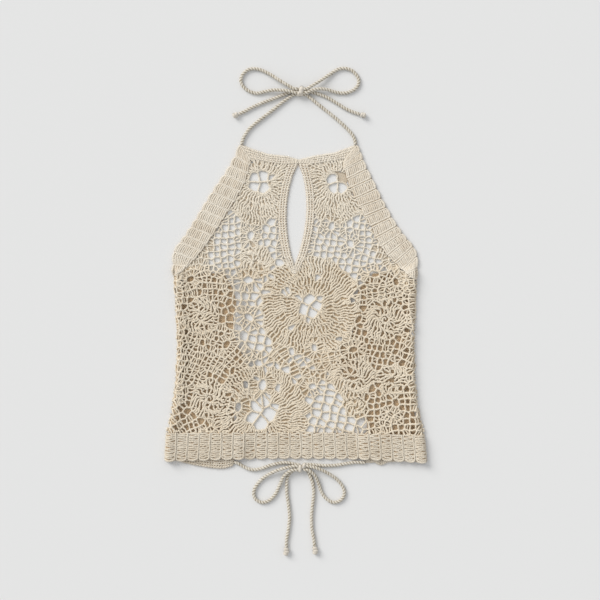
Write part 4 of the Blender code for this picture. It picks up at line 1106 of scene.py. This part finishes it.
class Band:
    """A band between a foot rail and a top rail. Its shape is its thickness in a groove, how
    far a rib rises over that, how far its foot bulges at a rib, and its ribs to each span of
    the rails. Its floor gives the height of its underside at a place."""

    def __init__(self, name, rails, shape, floor):
        self.name, self.rails, self.shape, self.floor = name, rails, shape, floor
        self.spans = len(rails[0]) - 1

    def point(self, at, share, lift=0.0):
        """A point on the band, at a count of rail points along it and a share of the way from
        its foot to its top, lifted off its ribbed face."""
        base, rise, scallop, ribs = self.shape
        at = min(max(at, 0.0), float(self.spans))
        first = min(int(at), self.spans - 1)
        swell = abs(math.sin(math.pi * ((at * ribs) % 1.0)))
        foot, top = [
            Vector(rail[first]).lerp(Vector(rail[first + 1]), at - first) for rail in self.rails
        ]
        foot = foot + (foot - top).normalized() * scallop * swell**0.6
        x, y = foot.lerp(top, share)
        edge = min(1.0, min(share, 1.0 - share) / 0.12)
        crest = rise * swell**0.7 * (0.25 + 0.75 * edge)
        return Vector((x, y, self.floor(x, y) + base + crest + lift))

    def wall(self, material):
        """The closed wall under the stitches: the band's ribbed form, a little lower."""
        steps = SHELL_STEPS * self.shape[3]
        rings, verts, faces = [], [], []
        for i in range(self.spans * steps + 1):
            ring = [self.point(i / steps, share, -SHELL_DROP) for share in SHELL_SHARES]
            ring += [Vector((p.x, p.y, self.floor(p.x, p.y) + 0.02)) for p in reversed(ring)]
            rings.append(list(range(len(verts), len(verts) + len(ring))))
            verts += ring
        for a, b in zip(rings, rings[1:]):
            faces += [(a0, b0, b1, a1) for (a0, a1), (b0, b1) in zip(edges(a), edges(b))]
        faces += [rings[0][::-1], rings[-1]]
        return add_piece(f"{self.name}_wall", verts, faces, material, smooth=True)

    def ribbed(self, material, zigzag, fill, inset, ridges):
        """The yarn of a ribbed band: rows over each rib, that all lean one way or zigzag and
        fill a share of the groove's depth, a chain down both its sides, a share of the rib's
        width in from them, that stands up by the two ridges, and a thread in each groove, painted
        dark as the groove's shade. A narrow rib's yarn is painted darker, as shade where it crowds."""
        rng = random.Random(f"{self.name}_stitches")
        yarn = Yarn()
        bent, wild = (0.8, 2.0) if zigzag else (0.25, 1.0)
        for rib in range(self.spans):
            width = (self.point(rib + 1, 1.0) - self.point(rib, 1.0)).length
            # painted shade: a narrow rib's yarn is darker, as where crowded stitches shade each
            # other; each rib also varies at random
            crowd_shade = min(1.0, 0.8 + 0.2 * width / FULL_RIB)
            dye_and_crowd_shade = crowd_shade * rng.uniform(0.9, 1.03)
            length = (self.point(rib + 0.5, 0.0) - self.point(rib + 0.5, 1.0)).length
            count = round(length / STITCH_PITCH)
            for row in range(count):
                share = (row + 0.75) / (count + 0.4)
                lean = STITCH_TILT * rng.uniform(0.5, 1.3) / length
                if zigzag:
                    lean = STITCH_TILT * (-1 if row % 2 else 1) * rng.uniform(-0.8, 1.9) / length
                sink = rng.uniform(-0.3, 0.1)
                points = []
                for k in range(7):
                    phase = 0.07 + 0.86 * k / 6
                    up = sink - 0.5 + 0.4 * math.sin(math.pi * k / 6)
                    up += fill * RIB_RISE * (1.0 - math.sin(math.pi * phase) ** 0.7)
                    shift = lean * (k / 3 - 1) + stray(rng, bent) / length
                    points.append(self.point(rib + phase, share + shift, up))
                tone_and_shade = dye_and_crowd_shade * rng.uniform(0.84, 1.08)
                yarn.thread(evenly(points, 1.3), STITCH_YARN * rng.uniform(0.9, 1.08), tone_and_shade=tone_and_shade)
            chain = [(inset, share) for share in np.linspace(1.0, 0.1, 12)] + list(CHAIN_FOOT)
            chain += [(1.0 - inset, share) for share in np.linspace(0.1, 1.0, 12)]
            points = []
            for phase, share in chain:
                up = ridges[0] + (ridges[1] - ridges[0]) * phase + wild * stray(rng, 0.15)
                at = rib + (phase + wild * stray(rng, 0.016))
                points.append(self.point(at, share, up))
            tone_and_shade = crowd_shade * rng.uniform(0.92, 1.1)
            yarn.thread(evenly(points, 0.9), CHAIN_YARN, turn=5.2, groove=0.5, tone_and_shade=tone_and_shade)
            # a thread painted dark in the groove between two ribs, as the groove's shade
            if rib:
                points = [self.point(rib, share, -0.1) for share in np.linspace(0.04, 0.98, 9)]
                yarn.thread(evenly(points, 1.6), SEAM_YARN, tone_and_shade=GROOVE_SHADE)
        return yarn.build(f"{self.name}_stitches", material)

    def close(self, material, columns):
        """The yarn of a close edging: wavy chains along it, and short posts from one to the
        next."""
        rng = random.Random(f"{self.name}_stitches")
        yarn = Yarn()
        foot = [Vector(p) for p in self.rails[0]]
        length = sum((a - b).length for a, b in zip(foot, foot[1:]))
        steps = round(length / 1.3)
        for column in range(columns):
            points = []
            for i in range(steps + 1):
                turn = math.tau * (i * length / steps) / EDGING_WAVE
                share = (column + 0.5) / columns
                share += 0.16 / columns * math.sin(turn + 2.4 * column)
                up = 0.35 * math.sin(turn + 1.3 + column) - 0.3
                points.append(self.point(self.spans * i / steps, share, up))
            tone_and_shade = rng.uniform(0.95, 1.08)
            yarn.thread(np.array(points), 1.3, turn=4.4, groove=0.3, tone_and_shade=tone_and_shade)
        posts = round(length / POST_PITCH)
        for i in range(posts):
            at = self.spans * (i + 0.5) / posts
            for column in range(columns + 1):
                low = max(0.0, (column - 0.55) / columns)
                high = min(1.0, (column + 0.55) / columns)
                slant = stray(rng, 0.25) * self.spans / posts
                points = []
                for k in range(5):
                    up = -0.75 + 0.3 * math.sin(math.pi * k / 4)
                    share = low + (high - low) * k / 4
                    points.append(self.point(at + slant * (k / 2 - 1), share, up))
                yarn.thread(evenly(points, 1.3), 1.1, tone_and_shade=rng.uniform(0.85, 1.05))
        return yarn.build(f"{self.name}_stitches", material)

    def state(self):
        foot, top = [[complex(*p) for p in rail] for rail in self.rails]
        middle = [(a + b) / 2 for a, b in zip(foot, top)]
        length = sum(abs(b - a) for a, b in zip(middle, middle[1:]))
        width = abs(area_of(foot + top[::-1])) / length


# ---------------------------------------------------------------- the back panels


def back_panel_outline(column):
    """The back panel of one side: column 1 is the left one and 2 the right one."""
    out = 1.0 if column == 1 else -1.0
    foot = BACK_HEM_TOP + SEAM
    ys = (foot, -196.0, -160.0, -110.0, -54.0, 10.0, BACK_TOP - BACK_CORNER[1])
    outline = [(look_up(SIDE_EDGE, y, column) + out * BACK_INSET, y) for y in ys]
    outline.append((outline[-1][0] + out * BACK_CORNER[0], BACK_TOP))
    outline.append((look_up(BACK_EDGE, BACK_TOP, column), BACK_TOP))
    outline += [(row[column], row[0]) for row in BACK_EDGE if foot < row[0] < BACK_TOP]
    outline.append((look_up(BACK_EDGE, foot, column), foot))
    return [complex(*p) for p in outline]


def back_panel(name, outline, material):
    """A back panel: a flat underside and a face of crochet rows that swell and dip."""
    low, high = min(p.imag for p in outline), max(p.imag for p in outline)
    rows = round((high - low) / (CLOSE_ROW / 3))
    columns = round(extent(p.real for p in outline) / CLOSE_ROW * 2)
    rings, verts, faces = [], [], []
    for i in range(rows + 1):
        y = low + (high - low) * i / rows
        xs = crossings(outline, min(max(y, low + 0.01), high - 0.01))
        start, width = min(xs), extent(xs)
        ring = []
        for j in range(columns + 1):
            swell = 0.5 * math.sin(math.tau * (y - low) / CLOSE_ROW) * math.cos(math.pi * j)
            if j in (0, columns) or i in (0, rows):
                swell = 0.0
            ring.append((start + width * j / columns, y, PANEL_THICK - 0.5 + swell))
        ring += [(ring[-1][0], y, 0.0), (ring[0][0], y, 0.0)]
        rings.append(list(range(len(verts), len(verts) + len(ring))))
        verts += ring
    for a, b in zip(rings, rings[1:]):
        faces += [(a0, a1, b1, b0) for (a0, a1), (b0, b1) in zip(edges(a), edges(b))]
    faces += [rings[0][::-1], rings[-1]]
    return add_piece(name, verts, faces, material)


# ---------------------------------------------------------------- the ties


def neck_bow():
    """The stretches of the neck's bow. At the knot the loops lie on the straps and ends, and
    a point without a height lies on the surface."""
    x, y = NECK_KNOT
    left, right = x - KNOT_SIZE[0] / 2 - SEAM, x + KNOT_SIZE[0] / 2 + SEAM
    return {
        "strap_left": (
            (-84.2, 251.8), (-80.5, 263.0), (-71.5, 276.0), (-57.0, 288.5), (-38.0, 303.0),
            (-20.5, 317.0), (-6.5, 327.0), (left, y - 4.6),
        ),
        "strap_right": (
            (92.6, 252.0), (91.4, 259.0), (87.5, 267.0), (76.0, 279.5), (61.5, 292.5),
            (46.5, 304.5), (31.5, 316.5), (20.0, 326.0), (right, y - 4.6),
        ),
        "loop_left": (
            (left, y + 3.4, HIGH), (-9.5, 341.0, HIGH), (-27.5, 352.0, 6.2), (-42.0, 361.5, 3.4),
            (-57.0, 368.0), (-70.0, 368.5), (-80.0, 362.5), (-85.0, 351.5), (-81.0, 341.0),
            (-71.5, 334.0), (-60.5, 331.0), (-49.0, 333.0, 3.2), (-34.5, 335.5, 5.8),
            (-18.0, 334.5, HIGH), (-6.0, 332.5, HIGH), (left, y - 2.3, HIGH),
        ),
        "loop_right": (
            (right, y + 3.4, HIGH), (24.5, 341.5, HIGH), (39.0, 350.5, 6.2), (54.0, 361.0, 3.4),
            (64.5, 367.5), (76.0, 369.5), (88.0, 365.5), (96.5, 355.0), (97.0, 344.5),
            (89.5, 336.0), (77.5, 331.5), (64.0, 332.0, 3.0), (49.5, 336.0, 5.6),
            (36.0, 337.0, HIGH), (24.0, 334.5, HIGH), (right, y - 2.3, HIGH),
        ),
        "end_left": (
            (left, y + 1.0), (-10.0, 332.0), (-22.0, 327.5), (-37.0, 321.5), (-52.0, 316.0),
            (-66.5, 309.5), (-79.5, 302.5), (-88.0, 299.0),
        ),
        "end_right": (
            (right, y + 1.0), (22.0, 333.0), (33.0, 330.5), (47.0, 325.0), (61.5, 317.0),
            (76.5, 307.5), (89.5, 301.5), (99.0, 298.5),
        ),
    }


def back_bow():
    """The stretches of the bow below the hem, which ties the two back hem bands together."""
    x, y = BACK_KNOT
    left, right = x - KNOT_SIZE[0] / 2 - SEAM, x + KNOT_SIZE[0] / 2 + SEAM
    return {
        "strap_left": (
            (-95.6, -240.3), (-90.0, -241.4), (-76.0, -249.5), (-65.0, -252.0), (-53.0, -250.0),
            (-37.0, -244.5), (-20.0, -241.0), (-6.0, -242.0), (left, y + 4.6),
        ),
        "strap_right": (
            (107.7, -240.9), (92.5, -240.4), (79.0, -242.3), (63.5, -244.8), (47.0, -245.5),
            (31.0, -244.5), (20.0, -243.5), (right, y + 4.6),
        ),
        "loop_left": (
            (left, y + 2.3, HIGH), (-7.0, -246.5, HIGH), (-19.0, -249.5, HIGH),
            (-34.5, -255.0, 6.0), (-50.5, -265.0, 3.2), (-61.5, -277.5), (-65.0, -288.5),
            (-61.5, -298.0), (-52.0, -302.5), (-41.0, -299.5), (-31.5, -290.0),
            (-25.0, -276.0, 3.4), (-18.5, -262.0, 6.4), (-9.0, -253.5, HIGH),
            (left, y - 3.4, HIGH),
        ),
        "loop_right": (
            (right, y + 2.3, HIGH), (22.5, -246.5, HIGH), (34.5, -249.5, HIGH),
            (50.0, -257.0, 6.0), (64.5, -267.5, 3.2), (73.5, -279.5), (75.0, -291.0),
            (69.0, -299.5), (59.0, -302.5), (49.5, -298.5), (41.0, -288.5),
            (36.0, -274.5, 3.6), (30.5, -261.5, 6.6), (22.5, -253.5, HIGH),
            (right, y - 3.4, HIGH),
        ),
        "end_left": (
            (left, y - 1.2), (-5.0, -253.5), (-12.0, -261.5), (-13.8, -274.0), (-13.5, -289.0),
            (-11.0, -308.0), (-9.5, -326.0), (-11.5, -345.0), (-14.0, -360.0), (-14.4, -371.0),
        ),
        "end_right": (
            (right, y - 1.2), (19.5, -255.0), (23.0, -263.0), (26.5, -274.0), (28.0, -289.0),
            (26.0, -308.0), (24.5, -326.0), (25.5, -345.0), (28.0, -359.0), (29.2, -369.5),
        ),
    }


def in_space(stretch):
    """The points of a stretch, each with its height."""
    return [(*point, LOW)[:3] for point in stretch]


def stretch_line(stretch, knot):
    """A stretch's line as in the part: smooth, with a straight length where it meets a knot."""
    points = in_space(stretch)
    for end, place in ((-1, -1), (0, 1)):
        x, y, z = points[end]
        if abs(x - knot[0]) < KNOT_SIZE[0] / 2 + 2 * SEAM:
            points.insert(place, (x + math.copysign(KNOT_LEAD, x - knot[0]), y, z))
    return [Vector(points[0]), *smooth_line(points[1:-1], 12), Vector(points[-1])]


def through_knot(start, end):
    """The way of a cord through a knot, where it dips under the wraps."""
    dip = Vector((0.0, 0.0, -KNOT_DIP))
    return [start.lerp(end, i / 8) + dip * math.sin(math.pi * i / 8) for i in range(1, 8)]


def wound_knot(name, middle, size, heading, wraps, material):
    """A knot: wraps of cord round the ones it holds, which run along the heading. Each wrap is
    its place along and across the knot, its lean, its length and the cord's radius."""
    along = Vector((math.cos(heading), math.sin(heading), 0.0))
    aside = Vector((-along.y, along.x, 0.0))
    centre = Vector((*middle, size[2] / 2 + 0.3))
    yarn = Yarn()
    for run, shift, lean, length, radius in wraps:
        way = (aside * math.cos(lean) + along * math.sin(lean)) * (length / 2 - radius)
        tall = Vector((0.0, 0.0, size[2] / 2 - 1.06 * radius))
        points = []
        for i in range(33):
            angle = math.tau * i / 32 - math.pi / 2
            slip = 0.5 * math.sin(angle / 2 + math.pi / 4)
            place = centre + along * (run + slip) + aside * shift
            points.append(place + way * math.cos(angle) + tall * math.sin(angle))
        yarn.thread(evenly(points, 0.6), radius, sides=14, groove=0.05, turn=CORD_TURN)
    return yarn.build(name, material)


def add_ties(name, knot, stretches, material, plain):
    """A bow: two cords, each from its strap through the knot, round its loop and out to its
    free end, with a knot at the tip; and the knot that they share. Knots are of the plainer
    material."""
    centre = wound_knot(f"{name}_bow_knot", knot, KNOT_SIZE, 0.0, BOW_WRAPS[name], plain)
    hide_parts(f"{name}_knot")
    pieces = [centre]
    for side, other in (("left", "right"), ("right", "left")):
        line = stretch_line(stretches[f"strap_{side}"], knot)
        loop = stretch_line(stretches[f"loop_{other}"], knot)[::-1]
        for part in (loop, stretch_line(stretches[f"end_{side}"], knot)):
            line += through_knot(line[-1], part[0]) + part
        line = evenly(line, 1.3)
        yarn = Yarn()
        radius = CORD_DIAMETER / 2 * 0.94
        yarn.thread(evenly(line, 0.8), radius, sides=12, groove=0.14, turn=CORD_TURN)
        cord = yarn.build(f"{name}_cord_{side}", material)

        before, tip = [Vector(p) for p in in_space(stretches[f"end_{side}"])[-2:]]
        ahead = (tip - before).normalized()
        place = tip + ahead * (END_KNOTS[name][0] / 2 + SEAM)
        heading = math.atan2(ahead.y, ahead.x)
        end_knot = wound_knot(
            f"{name}_tip_{side}", place.xy, END_KNOTS[name], heading, TIP_WRAPS[name], plain
        )
        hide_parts(f"{name}_strap_{side}", f"{name}_loop_{other}", f"{name}_end_{side}")
        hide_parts(f"{name}_end_{side}_knot")
        pieces += [cord, end_knot]
    return pieces


# ---------------------------------------------------------------- the studio


def add_camera():
    """Straight down on the surface, with the neck at the top of the picture."""
    data = bpy.data.cameras.new("camera")
    data.lens = LENS
    data.sensor_width = SENSOR
    camera = add_object("camera", data)
    camera.location = (*[v * MM for v in CAMERA_MIDDLE], PICTURE_WIDTH * LENS / SENSOR * MM)
    bpy.context.scene.camera = camera


def add_studio():
    """A pale sky, one far soft light from the upper left, and a pale floor."""
    world = bpy.data.worlds.new("studio")
    world.use_nodes = True
    sky = world.node_tree.nodes["Background"]
    sky.inputs["Color"].default_value = SKY
    sky.inputs["Strength"].default_value = SKY_STRENGTH
    bpy.context.scene.world = world
    bpy.context.scene.view_settings.view_transform = "Standard"
    sun = bpy.data.lights.new("key", "SUN")
    sun.angle = math.radians(SUN_SPREAD)
    sun.energy = SUN_STRENGTH
    sun.color = SUN_COLOUR
    light = add_object("key", sun)
    light.location = SUN_PLACE
    light.rotation_euler = (-Vector(SUN_PLACE)).to_track_quat("-Z", "Y").to_euler()
    look = Look("studio_floor", 0.7)
    look.paint(look.noise(900.0), FLOOR, tuple(0.985 * c for c in FLOOR))
    corners = [(x * FLOOR_HALF, y * FLOOR_HALF, 0) for x, y in ((-1, -1), (1, -1), (1, 1), (-1, 1))]
    add_piece("studio_floor", corners, [(0, 1, 2, 3)], look.material)


# ---------------------------------------------------------------- putting it together


def build():
    add_camera()
    add_studio()
    cream = yarn_material("cream")
    yarn = yarn_material("band", groove_shade=0.3)
    # the hem band's yarn is darker than the other bands' as painted shade, with stronger groove
    # shade
    hem = yarn_material("hem", groove_shade=0.4)
    pale = yarn_material("pale")
    # the cords: strong painted shade in the groove between the plies, uneven along them
    cord = yarn_material("cord", groove_shade=1.2, narrow=1.1, patchy=0.3, uneven_shade=2.2)
    knot = yarn_material("knot", groove_shade=0.25, narrow=1.2, patchy=0.3)
    # the walls under the bands are browner, as painted shade seen between the stitches
    under = fabric_material("under")
    # the back panels' browner colours are painted shade under the front
    shaded = fabric_material("back")
    # the close ground's colours are painted shade seen in the slots: browner in the body, paler in
    # the yoke
    body = (cream, fabric_material("ground", GROUND_ROW))
    yoke = (pale, fabric_material("yoke_ground", GROUND_ROW))
    pieces = add_ties("neck", NECK_KNOT, neck_bow(), cord, knot)
    pieces += add_ties("back", BACK_KNOT, back_bow(), cord, knot)
    lace = lace_pieces({"yoke": yoke, "left": body, "right": body})
    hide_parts("front_lace")
    pieces += lace
    behind = ("back_hem_left", "back_hem_right")
    for name, rails, shape, material, work, worked in (
        ("arm_band_left", band_rails(ARM_LEFT), (*RIBS, 2.3, 1), yarn, Band.ribbed,
         (False, 0.85, 0.045, (0.45, 0.45))),
        ("arm_band_right", band_rails(ARM_RIGHT), (*RIBS, 1.5, 1), yarn, Band.ribbed,
         (False, 0.35, 0.1, (0.3, 0.3))),
        ("hem_band", hem_rails(), (*RIBS, 2.3, 1), hem, Band.ribbed,
         (True, 0.25, 0.065, (-0.1, 0.9))),
        ("back_hem_left", band_rails(BACK_HEM_LEFT), (*RIBS, 0.3, 1), hem, Band.close, (12,)),
        ("back_hem_right", band_rails(BACK_HEM_RIGHT), (*RIBS, 0.3, 1), hem, Band.close, (12,)),
        ("neck_band", (NECK_EDGE, NECK_FOOT), (*EDGING, 3), yarn, Band.close, (4,)),
        ("keyhole_edge_left", keyhole_rails(-1), (*EDGING, 2), yarn, Band.close, (3,)),
        ("keyhole_edge_right", keyhole_rails(1), (*EDGING, 2), yarn, Band.close, (3,)),
    ):
        band = Band(name, rails, shape, on_surface if name in behind else underside)
        wall = band.wall(under)
        stitches = work(band, material, *worked)
        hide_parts(name)
        band.state()
        pieces += [wall, stitches]
    for name, column in (("back_panel_left", 1), ("back_panel_right", 2)):
        outline = back_panel_outline(column)
        panel = back_panel(f"{name}_cloth", outline, shaded)
        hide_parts(name)
        state_sheet(outline)
        pieces.append(panel)
    for piece in pieces:
        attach(piece, "root")


build()
